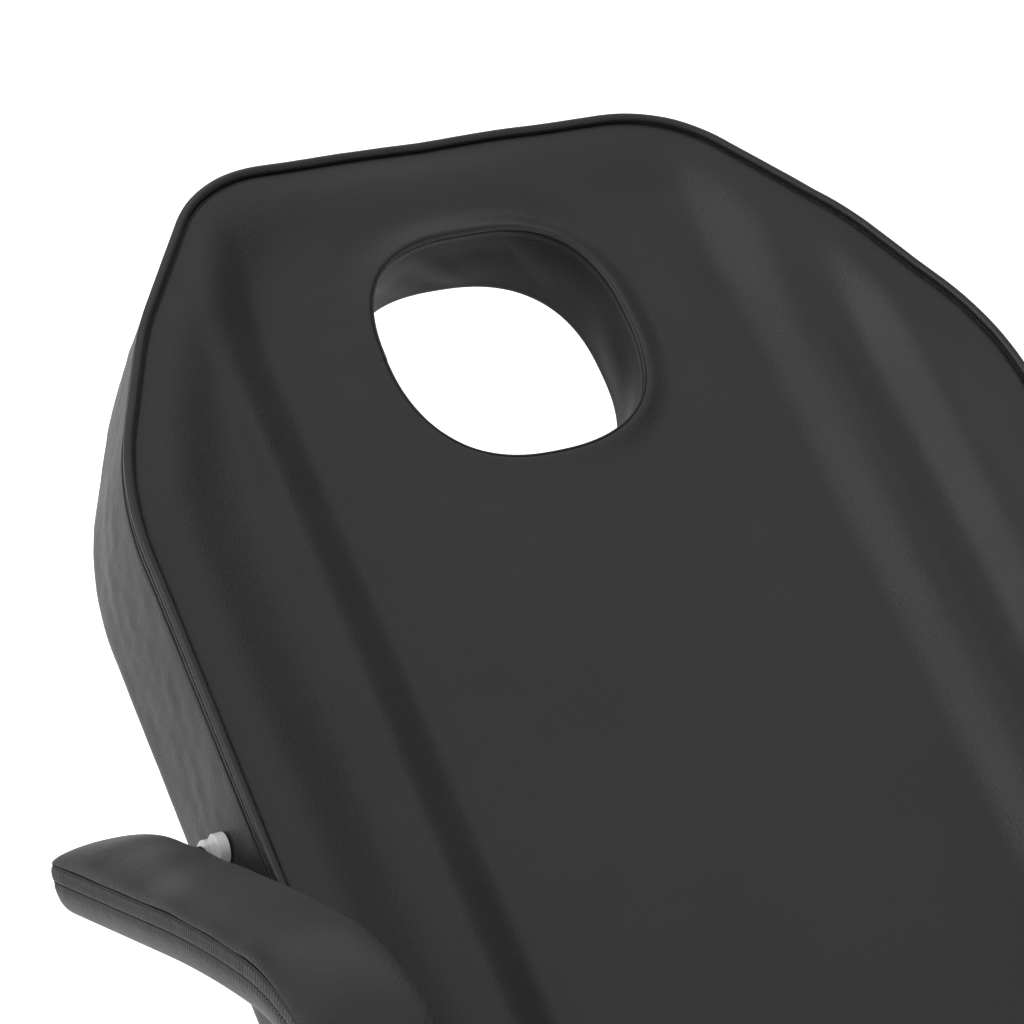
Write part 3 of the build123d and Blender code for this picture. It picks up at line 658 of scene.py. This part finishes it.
class Outline:
    """Outer line of a pad and the edge of its face, with half-round caps at the hinge ends."""

    def __init__(self, plan, inner, base, face, length=None):
        flat = np.column_stack([plan, base(plan[:, 0], plan[:, 1])])
        join = np.column_stack([inner, face(inner[:, 0], inner[:, 1])])
        tangent = unit(np.gradient(plan, axis=0))
        out = np.stack([tangent[:, 1], -tangent[:, 0], np.zeros(len(plan))], axis=1)
        caps = [self.cap(plan[0, 0], inner[0, 0]), self.cap(plan[-1, 0], inner[-1, 0])]
        if length is not None:
            caps[1] = self.turned(caps[1], length)
        (top0, up0, upper0, lower0), (top1, up1, upper1, lower1) = caps
        side0, side1 = (np.tile([np.sign(x), 0.0, 0.0], (END_STEPS, 1)) for x in (plan[0, 0], plan[-1, 0]))
        under = join * np.array([1, 1, 0]) + np.array([0, 0, -HALF_PAD])
        self.top = np.vstack([top0, flat, top1[::-1]])
        self.up = np.vstack([up0, np.tile([0.0, 0.0, 1.0], (len(plan), 1)), up1[::-1]])
        self.out = np.vstack([side0, out, side1])
        self.upper = np.vstack([upper0, join, upper1[::-1]])
        self.lower = np.vstack([lower0, under, lower1[::-1]])
        self.capped = np.abs(self.up[:, 1]) > 1e-9
        self.away = self.top[:, 1]
        if length is not None:
            self.away = np.minimum(self.away, length - self.away)
        self.share = np.where(self.capped, hinge_share(END_SETBACK), hinge_share(self.away))[:, None]
        self.length = length

    @staticmethod
    def cap(x, inner):
        """Upper edge of a cap from its tip back, the direction up out of it, and both edges of the cover."""
        up = np.stack([np.zeros(END_STEPS), -np.sin(CAP_TURNS), np.cos(CAP_TURNS)], axis=1)
        top = np.array([x, END_SETBACK, 0]) + HALF_PAD * up
        upper = np.vstack([end_row(np.array([inner]), turn) for turn in CAP_TURNS])
        lower = np.vstack([end_row(np.array([inner]), math.pi - turn) for turn in CAP_TURNS])
        return top, up, upper, lower

    @staticmethod
    def turned(cap, length):
        """The same cap at the far end of a pad."""
        top, up, upper, lower = cap
        flip, shift = np.array([1, -1, 1]), (0, length, 0)
        return top * flip + shift, up * flip, upper * flip + shift, lower * flip + shift

    def wall(self, seed, rows=22, bulge=0.0014):
        """Side wall from behind the welt to the underside: slightly puffed, creased and rounded below."""
        low = np.where(self.capped, 2 * self.top[:, 2], self.top[:, 2] + HALF_PAD)
        start = np.minimum(0.0042, low * 0.2)
        grid = [self.upper]
        for inset, drop in ((0.0030, 0.0080), (0.0008, 0.0056)):
            grid.append(self.top - self.out * inset - self.up * drop * self.share)
        run = lengths_along(self.top)
        middle = np.linspace(0.16, 0.94, rows)
        for v in np.concatenate([[0, 0.02, 0.04, 0.06, 0.08, 0.1, 0.12], middle, [0.97, 0.99, 1]]):
            drop = start + (low - start) * v
            crease = 0.0005 * waves(run, drop, 0.060, seed)
            crease = crease + 0.00032 * waves(run * 1.6, drop, 0.022, seed + 1)
            swell = (bulge + crease) * math.sin(math.pi * v) ** 0.7 - 0.0045 * smooth(0.90, 1.0, v) ** 2
            seam = -0.0007 * bump(drop - EDGE_SEAM_DROP, 0.0009)
            level = self.top + self.out * (swell + seam)[:, None]
            level[:, 2] -= drop
            grid.append(level)
        grid.append(self.lower)
        return np.asarray(grid)

    def add_wall(self, shell, seed, sign=1.0):
        """Put the wall into a shell, closed at the tips of both caps; sign -1 mirrors it to the -X side."""
        grid = self.wall(seed) * np.array([sign, 1, 1])
        shell.grid(grid)
        shell.fan(grid[:, 0])
        shell.fan(grid[:, -1])

    def line(self, inset, lift, cap_lift):
        """Path of a welt or seam along the top edge and round the caps onto the underside.

        The cap lift keeps a welt flush there, so that two sections can fold against each other.
        """
        share = np.where(self.capped, 0.0, smooth(END_SETBACK, END_SETBACK + 0.05, self.away))[:, None]
        path = self.top - self.out * inset + self.up * (lift * share + cap_lift * (1 - share))
        turn = np.linspace(math.pi, math.pi / 2, END_STEPS + 1)[:-1]
        reach = HALF_PAD + cap_lift
        first = np.stack([np.full(END_STEPS, path[0, 0]), END_SETBACK - reach * np.sin(turn),
                          reach * np.cos(turn)], axis=1)
        last = first[::-1].copy()
        last[:, 0] = path[-1, 0]
        if self.length is not None:
            last[:, 1] = self.length - last[:, 1]
        return resample(np.vstack([first, path, last]), 0.0025)


def hem(name, plan, place, body, board_inset, sign=1.0):
    """Turned-in edge of the cover: round the board's edge and stapled under it."""
    below = HALF_PAD + BOARD
    # Section of the hem as (inset from the pad's outline, depth under the pad's middle).
    stations = ((0.0030, HALF_PAD - 0.0006), (0.0100, HALF_PAD + 0.0004), (board_inset, HALF_PAD + 0.0030),
                (board_inset, below - 0.002), (board_inset + 0.002, below + 0.0007),
                (board_inset + 0.024, below + 0.0009), (board_inset + 0.0245, below + 0.0002),
                (board_inset + 0.004, below - 0.0002), (board_inset + 0.0015, below - 0.003),
                (board_inset + 0.0015, HALF_PAD + 0.003))
    rows = []
    run = lengths_along(plan)
    for inset, depth in stations:
        ruffle = 0.0008 * waves(run, run * 0, 0.045, 91) * (inset > board_inset + 0.02)
        path = inward(plan, inset + ruffle[:, None])
        rows.append(np.column_stack([sign * path[:, 0], path[:, 1], np.full(len(plan), -depth)]))
    rows.append(rows[0])
    loops = np.asarray(rows).transpose(1, 0, 2)
    shell = Shell()
    shell.grid(loops)
    shell.fan(loops[0])
    shell.fan(loops[-1])
    dress(shell.build(name, place), LEATHER, body, "upholstery")


# ---- backrest ----
def rim_for(loop):
    """Point of the hole's rim for each point of the outer loop, in the same direction from the centre."""
    want = np.arctan2(loop[:, 1] - HOLE_CENTRE[1], loop[:, 0] - HOLE_CENTRE[0])
    have = np.arctan2(HOLE[:, 1] - HOLE_CENTRE[1], HOLE[:, 0] - HOLE_CENTRE[0])
    order = np.argsort(have)
    x = np.interp(want, have[order], HOLE[order, 0], period=2 * math.pi)
    d = np.interp(want, have[order], HOLE[order, 1], period=2 * math.pi)
    return np.stack([x, d], axis=1)


RING_WIDTH = 0.130          # usual distance from the hole's rim to the outline


def ring_shares():
    """Steps from the hole's rim to the outer edge, close together at both."""
    near = np.array([0, 0.4, 0.9, 1.6, 2.6, 4.0, 5.6, 7.5]) / (1000 * RING_WIDTH)
    far = 1 - FACE_ROW[:-1] / RING_WIDTH
    return np.concatenate([near, np.linspace(near[-1], far[-1], 52)[1:-1], far[::-1]])


BACK_OUTLINE = Outline(BACK_PLAN, BACK_INNER, back_base, back_face)


def back_cushion():
    """The whole backrest cover, closed: face, hinge end, side wall, underside and the hole's inner wall."""
    shell = Shell()
    x = cross_stations(FACE_HALF, HEAD_COLUMNS)
    px, pd = np.meshgrid(x, SIDE_STATIONS)
    face = back_face(px.ravel(), pd.ravel()).reshape(px.shape)
    shell.grid(np.stack([px, pd, face], axis=2))
    shell.grid(round_end(x))
    shell.grid(np.stack([px, pd, np.full(px.shape, -HALF_PAD)], axis=2))
    loop = np.vstack([np.stack([x, np.full(len(x), SPLIT)], axis=1), FACE_EDGE[1:-1]])
    rim = rim_for(loop)
    plan = np.asarray([rim * (1 - t) + loop * t for t in ring_shares()])
    flat = plan.reshape(-1, 2)
    height = back_face(flat[:, 0], flat[:, 1]).reshape(plan.shape[:2])
    head = np.concatenate([plan, height[:, :, None]], axis=2)
    shell.grid(head, wrap=True)
    bottom = np.concatenate([plan[[0, 20, 40, -1]], np.full((4, plan.shape[1], 1), -HALF_PAD)], axis=2)
    shell.grid(bottom, wrap=True)
    shell.grid(np.asarray([head[0], bottom[0]]), wrap=True)
    BACK_OUTLINE.add_wall(shell, 41)
    return shell.build("back_cushion", BACK)


LINING_DEPTH = HALF_PAD + 0.0012
# Reach and depth of the lining's flange under the padding.
LINING_FLANGE = ((0.003, LINING_DEPTH), (0.014, LINING_DEPTH + 0.0002), (0.0142, LINING_DEPTH - 0.0007))


def hole_lining():
    """Sewn lining of the face hole: soft slanting folds, then a flange glued under the padding."""
    rim = HOLE
    top = back_face(rim[:, 0], rim[:, 1])
    step = np.roll(rim, -1, axis=0) - np.roll(rim, 1, axis=0)
    out = np.stack([step[:, 1], -step[:, 0]], axis=1)
    out /= np.linalg.norm(out, axis=1)[:, None]
    angle = np.arctan2(rim[:, 1] - HOLE_FROM_HINGE, rim[:, 0])
    gather = smooth(-0.2, 0.9, np.sin(angle - 0.5))
    rows = []
    levels = np.concatenate([[0, 0.015, 0.03, 0.06], np.linspace(0.1, 1.0, 30)])
    for v in levels:
        depth = top * (1 - v) - LINING_DEPTH * v
        slant = angle * 0.085 + v * 0.055
        fold = 0.0030 * gather * np.maximum(waves(slant, np.full_like(angle, v * 0.012), 0.060, 53), -0.3)
        fold = fold + 0.0012 * waves(angle * 0.085, np.full_like(angle, v * 0.07), 0.09, 54)
        inside = (fold + 0.0014) * math.sin(math.pi * min(v * 1.02, 1.0))
        inside = inside + 0.0009 * math.sin(math.pi * min(v / 0.1, 1))
        rows.append(np.column_stack([rim - out * np.maximum(inside, 0.0002)[:, None], depth]))
    for reach, depth in LINING_FLANGE:
        rows.append(np.column_stack([rim + out * reach, np.full(len(rim), -depth)]))
    rows.append(rows[0])
    shell = Shell()
    shell.grid(np.asarray(rows), wrap=True)
    dress(shell.build("face_hole_lining", BACK), LINING, "back", "upholstery")
    ring = np.column_stack([rim - out * 0.0003, top + 0.0001])
    seam = welt("face_hole_seam", ring, 0.0008, BACK, closed=True, sides=8)
    dress(seam, WELT_LEATHER, "back", "upholstery")


def make_back():
    """Backrest cover with its lining, welt, seams and hem."""
    dress(back_cushion(), LEATHER, "back", "upholstery", "back_pad", fill=0.9)
    hole_lining()
    trim("back", BACK_OUTLINE, BACK, "back")
    hem("back_hem", BACK_PLAN[BACK_PLAN[:, 1] > HEM_START], BACK, "back", BOARD_INSET)


# ---- seat and leg pads ----
STRIP_ROWS = 92
STRIP_COLUMNS = 131
FOOT_TURNS = np.linspace(0, math.pi / 2, 26)[1:]


def side_plan(length, inset, far_round):
    """Plan (x, d) of the +X edge of a seat or leg pad, moved in by an inset, with its foot corner."""
    stations = np.linspace(END_SETBACK, length - (END_SETBACK if far_round else FOOT_CORNER), STRIP_ROWS)
    plan = np.stack([np.full(STRIP_ROWS, HALF_WIDTH - inset), stations], axis=1)
    if far_round:
        return plan
    radius = FOOT_CORNER - inset
    corner = np.stack([HALF_WIDTH - FOOT_CORNER + radius * np.cos(FOOT_TURNS),
                       length - FOOT_CORNER + radius * np.sin(FOOT_TURNS)], axis=1)
    return np.vstack([plan, corner])


def strip_cushion(length, face, far_round):
    """Face, underside and hinge ends of a seat or leg cover."""
    shell = Shell()
    x = cross_stations(FACE_HALF, STRIP_COLUMNS)
    edge = side_plan(length, GROOVE, far_round)
    px = edge[:, :1] * (x / FACE_HALF)[None, :]
    pd = np.repeat(edge[:, 1:], len(x), axis=1)
    n = face(px.ravel(), pd.ravel()).reshape(px.shape)
    shell.grid(np.stack([px, pd, n], axis=2))
    shell.grid(np.stack([px, pd, np.full(px.shape, -HALF_PAD)], axis=2))
    end = round_end(x)
    shell.grid(end)
    if far_round:
        shell.grid(end * np.array([1, -1, 1]) + np.array([0, length, 0]))
    return shell


def trim(name, outline, place, body, sign=1.0):
    """Welt and the seam below it along one outline; sign -1 puts them on the -X side."""
    flip = np.array([sign, 1, 1])
    path = outline.line(WELT_INSET, WELT_LIFT, -WELT_R - 0.0003) * flip
    dress(welt(f"{name}_welt", path, WELT_R, place, lumps=0.02), WELT_LEATHER, body, "upholstery")
    path = outline.line(-0.0002, -EDGE_SEAM_DROP, -EDGE_SEAM_DROP) * flip
    dress(welt(f"{name}_edge_seam", path, SEAM_R, place, sides=6), THREAD, body, "upholstery")


def make_seat():
    """Seat cover with the welts, seams and hems of its two sides."""
    base, face = plain_face(SEAT_LENGTH, SEAT_RISE, True)
    shell = strip_cushion(SEAT_LENGTH, face, True)
    plan, inner = side_plan(SEAT_LENGTH, 0.0, True), side_plan(SEAT_LENGTH, GROOVE, True)
    for tag, sign in SIDES.items():
        def base_here(x, d):
            return base(sign * x, d)

        def face_here(x, d):
            return face(sign * x, d)

        outline = Outline(plan, inner, base_here, face_here, SEAT_LENGTH)
        outline.add_wall(shell, 60 + int(sign), sign)
        trim(f"seat_{tag}", outline, SEAT, "table", sign)
        hem(f"seat_{tag}_hem", plan[3:-3], SEAT, "table", SEAT_BOARD_INSET, sign)
    dress(shell.build("seat_cushion", SEAT), LEATHER, "table", "upholstery", "seat_pad", fill=0.9)


def make_leg():
    """Leg rest cover with its welt, seam and hem round the foot end."""
    base, face = plain_face(LEG_LENGTH, SEAT_RISE, False)
    shell = strip_cushion(LEG_LENGTH, face, False)
    plans = []
    share = cross_stations(FACE_HALF, STRIP_COLUMNS)[1:-1][::-1] / FACE_HALF
    for inset in (0.0, GROOVE):
        side = side_plan(LEG_LENGTH, inset, False)
        foot = np.stack([side[-1, 0] * share, np.full(len(share), LEG_LENGTH - inset)], axis=1)
        plans.append(np.vstack([side, foot, side[::-1] * np.array([-1, 1])]))
    outline = Outline(*plans, base, face)
    outline.add_wall(shell, 71)
    dress(shell.build("leg_cushion", LEG), LEATHER, "leg", "upholstery", "leg_pad", fill=0.9)
    trim("leg", outline, LEG, "leg")
    plan = plans[0]
    hem("leg_hem", plan[plan[:, 1] > HEM_START], LEG, "leg", BOARD_INSET)


# ---- armrests ----
ARM_MIDDLE = 0.366          # from the bed's middle plane
ARM_HALF = 0.0318
ARM_START = (-0.012, -0.004)        # forward of the pivot and up from it
ARM_SLOPE = math.radians(16.3)
ARM_STRAIGHT = 0.166
ARM_ARCS = ((1.000, math.radians(6.5)), (0.135, math.radians(33.8)))    # (radius, turn) of each bend
ARM_LENGTH = ARM_STRAIGHT + sum(radius * turn for radius, turn in ARM_ARCS)
ARM_END = 0.022             # length of an armrest's rounded end in plan
UPPER_SEAM = 0.0200         # seam heights over the board
LOWER_SEAM = 0.0105
ARM_SAG = 0.0060            # the cover hangs this far over the sides of the board
STITCH_PITCH = 0.0029


def arm_line(along):
    """Forward, up and slope of the armrest's underside, measured from the arm pivot."""
    along = np.asarray(along, float)
    run = np.minimum(along, ARM_STRAIGHT)
    forward = ARM_START[0] + run * math.cos(ARM_SLOPE)
    up = ARM_START[1] + run * math.sin(ARM_SLOPE)
    slope = np.full_like(along, ARM_SLOPE)
    rest = along - run
    for radius, turn in ARM_ARCS:
        run = np.clip(rest, None, radius * turn)
        after = slope - run / radius
        forward = forward + radius * (np.sin(slope) - np.sin(after))
        up = up + radius * (np.cos(after) - np.cos(slope))
        slope = after
        rest = rest - run
    return forward, up, slope


def arm_to_row(side, x, along, height):
    """Points of the armrest in the row frame."""
    forward, up, slope = arm_line(along)
    return np.stack([side * (ARM_MIDDLE + x), ARM_PIVOT.y - (forward - height * np.sin(slope)),
                     ARM_PIVOT.z + up + height * np.cos(slope)], axis=-1)


def round_share(distance, reach, power=2.2):
    """0 at an end, 1 beyond the reach, along a superellipse."""
    return (1 - (1 - np.clip(distance / reach, 0, 1)) ** power) ** (1 / power)


def arm_half(along):
    """Half width of the armrest in plan."""
    end = np.minimum(along, ARM_LENGTH - along)
    return ARM_HALF * round_share(end, ARM_END, 4.0)


def arm_stations():
    """Places along the armrest, closer at both ends, fine enough for the gathers."""
    nose = ARM_END * np.linspace(0, 1, 52) ** 3.2
    middle = np.arange(ARM_END, ARM_LENGTH - ARM_END, STITCH_PITCH / 4)
    return np.concatenate([nose[:-1], middle, ARM_LENGTH - nose[::-1]])


def arm_section():
    """Half of the cross-section from the top middle out and under: place across, height code and zone."""
    dome = np.linspace(0, math.pi / 2, 26)[:-1]
    top = [(np.sin(t) ** (2 / 2.3), np.cos(t) ** (2 / 2.1), 0.0) for t in dome]
    band = [(1.0, 0.0, v) for v in np.concatenate([np.linspace(0, 0.22, 6), np.linspace(0.3, 0.7, 4),
                                                   np.linspace(0.78, 1.0, 6)])]
    under = np.linspace(0, math.pi / 2, 12)[1:]
    low = [(0.80 + 0.20 * np.cos(t) ** 0.8, -np.sin(t), 1.0) for t in under]
    flat = [(share, -1.0, 1.0) for share in (0.6, 0.4, 0.2, 0.0)]
    return np.array(top + band + low + flat)


def arm_cushion(side, name):
    """Armrest cover: domed top, tapered ends, and a gathered band between two seams."""
    along = arm_stations()
    half = arm_half(along)
    slope = np.gradient(half, along)
    lean = np.hypot(1, slope)
    normal_x, normal_s = 1 / lean, -slope / lean
    section = arm_section()
    end = np.minimum(along, ARM_LENGTH - along)
    settle = 0.0135 - 0.0030 * smooth(0.06, 0.16, along) + 0.0012 * smooth(0.24, 0.30, along)
    dome = settle * round_share(end, 0.062, 1.9)
    belly = (LOWER_SEAM + ARM_SAG) * round_share(end, 0.026, 2.2)
    tip = smooth(0.0, 0.002, end)
    rows = []
    for sign in (1, -1):
        for share, code, zone in section if sign > 0 else section[::-1][1:-1]:
            band = UPPER_SEAM - (UPPER_SEAM - LOWER_SEAM) * zone
            height = band + dome * max(code, 0.0) + belly * min(code, 0.0)
            pucker = 0.00028 * np.sin(2 * math.pi * along / STITCH_PITCH)
            pucker = pucker + 0.0002 * waves(along, along * 0, 0.011, 83)
            near_band = (zone > 0) * (zone < 1) * math.sin(math.pi * min(max(zone, 0), 1)) ** 0.6
            skirt = 0.8 * bump(np.array(max(-code, 0.0)), 0.45) * (zone == 1)
            gather = 0.6 * bump(np.array(max(code, 0.0)), 0.30) * (zone == 0)
            upper = bump(np.array(zone * 9.5), 0.9) * (code < 0.1) * (zone < 0.5)
            lower = 0.7 * bump(np.array((zone - 1.0) * 9.5), 0.8) * (code > -0.1) * (zone > 0.5)
            groove = -0.0012 * (upper + lower)
            groove = groove - 0.0008 * bump(np.array(max(code, 0.0)), 0.05) * (zone == 0)
            push = groove + pucker * (near_band + skirt + gather) + 0.0004 * math.sin(math.pi * zone)
            drift = 0.0005 * waves(along, np.full_like(along, sign * share * 0.03), 0.07, 81) * (code > 0)
            drift, push = drift * tip, push * tip
            across = sign * (half * share + push * normal_x * (share > 0.3))
            rows.append(arm_to_row(side, across, along + push * normal_s * (share > 0.3), height + drift))
    points = np.asarray(rows).transpose(1, 0, 2)
    shell = Shell()
    shell.grid(points, wrap=True)
    return shell.build(name, weld=4e-5)


def arm_seam(side, height, out):
    """Closed path round the armrest at one height, with the direction out of the cover at each point."""
    along = arm_stations()[::2]
    half = arm_half(along)
    slope = np.gradient(half, along)
    lean = np.hypot(1, slope)
    shift_x, shift_s = out / lean, -out * slope / lean
    near = arm_to_row(side, half + shift_x, along + shift_s, height)
    far = arm_to_row(side, -(half + shift_x), along + shift_s, height)
    near_out = np.stack([side / lean, slope / lean, 0 * lean], axis=1)
    far_out = near_out * np.array([-1, 1, 1])
    return np.vstack([near, far[::-1][1:-1]]), np.vstack([near_out, far_out[::-1][1:-1]])


ARM_BOARD = 0.008
ARM_BOARD_HALF = 0.018
ARM_BOARD_ENDS = (0.022, ARM_LENGTH - 0.020)
HEM_ROWS, HEM_COLUMNS = 90, 12      # points along and across a hem
# Section of an armrest's hem as (offset from the board's side, height over the board's top).
ARM_HEM = ((0.0009, 0.003), (0.0010, -0.002), (0.0009, 0.0004 - ARM_BOARD), (0.0004, -ARM_BOARD),
           (-0.0004, 0.0004 - ARM_BOARD), (-0.0004, 0.003), (0.0009, 0.003))


def arm_hem(side, name, body):
    """Cover turned down over the sides of an armrest's board."""
    rows = []
    for offset, height in ARM_HEM:
        half = ARM_BOARD_HALF + offset
        start, end = ARM_BOARD_ENDS[0] - offset, ARM_BOARD_ENDS[1] + offset
        lengthwise, crosswise = np.linspace(start, end, HEM_ROWS), np.linspace(half, -half, HEM_COLUMNS)
        side_x, end_s = np.full(HEM_ROWS - 1, half), np.full(HEM_COLUMNS - 1, 1.0)
        x = np.concatenate([side_x, crosswise[:-1], -side_x, -crosswise[:-1]])
        along = np.concatenate([lengthwise[:-1], end * end_s, lengthwise[::-1][:-1], start * end_s])
        rows.append(arm_to_row(side, x, along, np.full(len(x), height)))
    shell = Shell()
    shell.grid(np.asarray(rows), wrap=True)
    dress(shell.build(name), LEATHER, body, "upholstery")


def make_arm(tag, side):
    """Armrest cover with its two seams and its hem."""
    body = f"arm_{tag}"
    cushion = arm_cushion(side, f"armrest_cushion_{tag}")
    dress(cushion, LEATHER, body, "upholstery", f"arm_pad_{tag}", fill=0.85)
    path, _ = arm_seam(side, UPPER_SEAM, -0.0007)
    path = resample(path, 0.002, True)
    crease = welt(f"armrest_upper_seam_{tag}", path, SEAM_R, Matrix.Identity(4), True, 6)
    dress(crease, THREAD, body, "upholstery")
    path, out = arm_seam(side, LOWER_SEAM, -0.0002)
    sewn = stitches(f"armrest_stitches_{tag}", path, out, STITCH_PITCH, 0.0021, 0.00038)
    dress(sewn, THREAD, body, "upholstery")
    arm_hem(side, f"armrest_hem_{tag}", body)


# ---- finish of the CAD nodes ----
FINISHES = {
    "white_paint": paint("white_powder_coat", (0.80, 0.80, 0.79), 0.30),
    "black_paint": paint("black_powder_coat", (0.014, 0.014, 0.014), 0.42),
    "grey_paint": paint("grey_powder_coat", (0.32, 0.33, 0.34), 0.36),
    "chrome": metal("chrome_plate", (0.80, 0.81, 0.82), 0.09),
    "bright_steel": metal("turned_steel", (0.56, 0.57, 0.58), 0.28, (1, 1, 6)),
    "washer": metal("bronze_washer", (0.62, 0.44, 0.22), 0.30),
    "black_plastic": moulded("black_grip", 0.016, 0.42),
    "rubber": moulded("black_rubber", 0.012, 0.62, 1.6),
    "plywood": plywood("birch_plywood"),
    "upholstery": LEATHER,
}


def finish_nodes():
    """Material of each CAD node, from its slot in the record."""
    for part in frame["record"]["subparts"]:
        obj = frame["nodes"][part["node"]]
        material = FINISHES[part["material_slot"]]
        if obj.material_slots:
            for slot in obj.material_slots:
                slot.material = material
        else:
            obj.data.materials.append(material)


# ---- studio ----
BASE_LIGHT = 0.03           # from every direction
# Soft lamps as (direction, half-angle of the edge, half-angle of the core, brightness).
SOFT_LAMPS = (
    ((-0.85, -0.15, 0.50), 38, 5, 2.10),
    ((-0.85, -0.15, 0.50), 85, 30, 0.25),
    ((0.00, -0.05, 1.00), 85, 30, 0.56),
    ((0.30, -0.72, 0.62), 42, 8, 0.45),
    ((0.30, 0.66, 0.69), 42, 8, 0.50),
    ((0.72, -0.15, 0.68), 28, 5, 0.32),
    ((-0.75, 0.66, 0.05), 42, 8, 0.50),
)


def studio_world():
    """Dim room with broad soft lamps, as a function of direction."""
    world = bpy.data.worlds.new("studio_world")
    world.use_nodes = True
    tree = world.node_tree
    background = tree.nodes["Background"]
    direction = add_node(tree, "ShaderNodeTexCoord").outputs["Generated"]
    total = None
    for toward, edge, core, power in SOFT_LAMPS:
        dot = add_node(tree, "ShaderNodeVectorMath", operation="DOT_PRODUCT")
        dot.inputs[1].default_value = Vector(toward).normalized()
        tree.links.new(direction, dot.inputs[0])
        span = {"From Min": math.cos(math.radians(edge)), "From Max": math.cos(math.radians(core))}
        glow = add_node(tree, "ShaderNodeMapRange", {**span, "To Min": 0.0, "To Max": power},
                        interpolation_type="SMOOTHSTEP")
        tree.links.new(dot.outputs["Value"], glow.inputs["Value"])
        add = add_node(tree, "ShaderNodeMath", operation="ADD")
        add.inputs[0].default_value = BASE_LIGHT
        if total is not None:
            tree.links.new(total, add.inputs[0])
        tree.links.new(glow.outputs["Result"], add.inputs[1])
        total = add.outputs["Value"]
    tree.links.new(total, background.inputs["Strength"])
    background.inputs["Color"].default_value = (1, 1, 1, 1)
    bpy.context.scene.world = world


FLOOR_GLOW = 0.60
GLOW_RANGE = (-1.7, 0.1)    # x over which the floor's glow rises from nothing
FLOOR_REACH = 40.0


def studio():
    """Pale floor, soft world and the standard view transform."""
    mesh = bpy.data.meshes.new("studio_floor")
    corners = [(x * FLOOR_REACH, y * FLOOR_REACH, 0) for x, y in ((-1, -1), (1, -1), (1, 1), (-1, 1))]
    mesh.from_pydata(corners, [], [(0, 1, 2, 3)])
    floor = bpy.data.objects.new("studio_floor", mesh)
    bpy.context.scene.collection.objects.link(floor)
    material, tree, shader, place = surface("studio_floor_paint")
    split = add_node(tree, "ShaderNodeSeparateXYZ")
    tree.links.new(place, split.inputs[0])
    glow = ramp(tree, split.outputs["X"], 0.0, FLOOR_GLOW, *GLOW_RANGE)
    tree.links.new(glow, shader.inputs["Emission Strength"])
    set_inputs(shader, {"Base Color": (0.9, 0.9, 0.9, 1), "Roughness": 0.9, "Specular IOR Level": 0.2,
                        "Emission Color": (1, 1, 1, 1)})
    floor.data.materials.append(material)
    studio_world()
    bpy.context.scene.view_settings.view_transform = "Standard"


# The camera looks at the backrest from in front, above and the client's right-hand side.
CAMERA_AZIMUTH = math.radians(-27.40)
CAMERA_ELEVATION = math.radians(22.24)
CAMERA_LENS = 138.3         # millimetres, on a sensor 36 millimetres wide
CAMERA_FROM_HEAD = Vector((-1.0547, -2.1543, 0.7409))


def camera():
    """Camera, placed from the middle of the head end."""
    head = BACK @ Vector((0, HEAD_LINE, HALF_PAD))
    data = bpy.data.cameras.new("camera")
    data.sensor_width = 36.0
    data.lens = CAMERA_LENS
    data.clip_end = 60
    view = bpy.data.objects.new("camera", data)
    view.location = head + CAMERA_FROM_HEAD
    view.rotation_euler = (math.pi / 2 - CAMERA_ELEVATION, 0, CAMERA_AZIMUTH)
    bpy.context.scene.collection.objects.link(view)
    bpy.context.scene.camera = view


make_back()
make_seat()
make_leg()
for tag, side in SIDES.items():
    make_arm(tag, side)
finish_nodes()
studio()
camera()
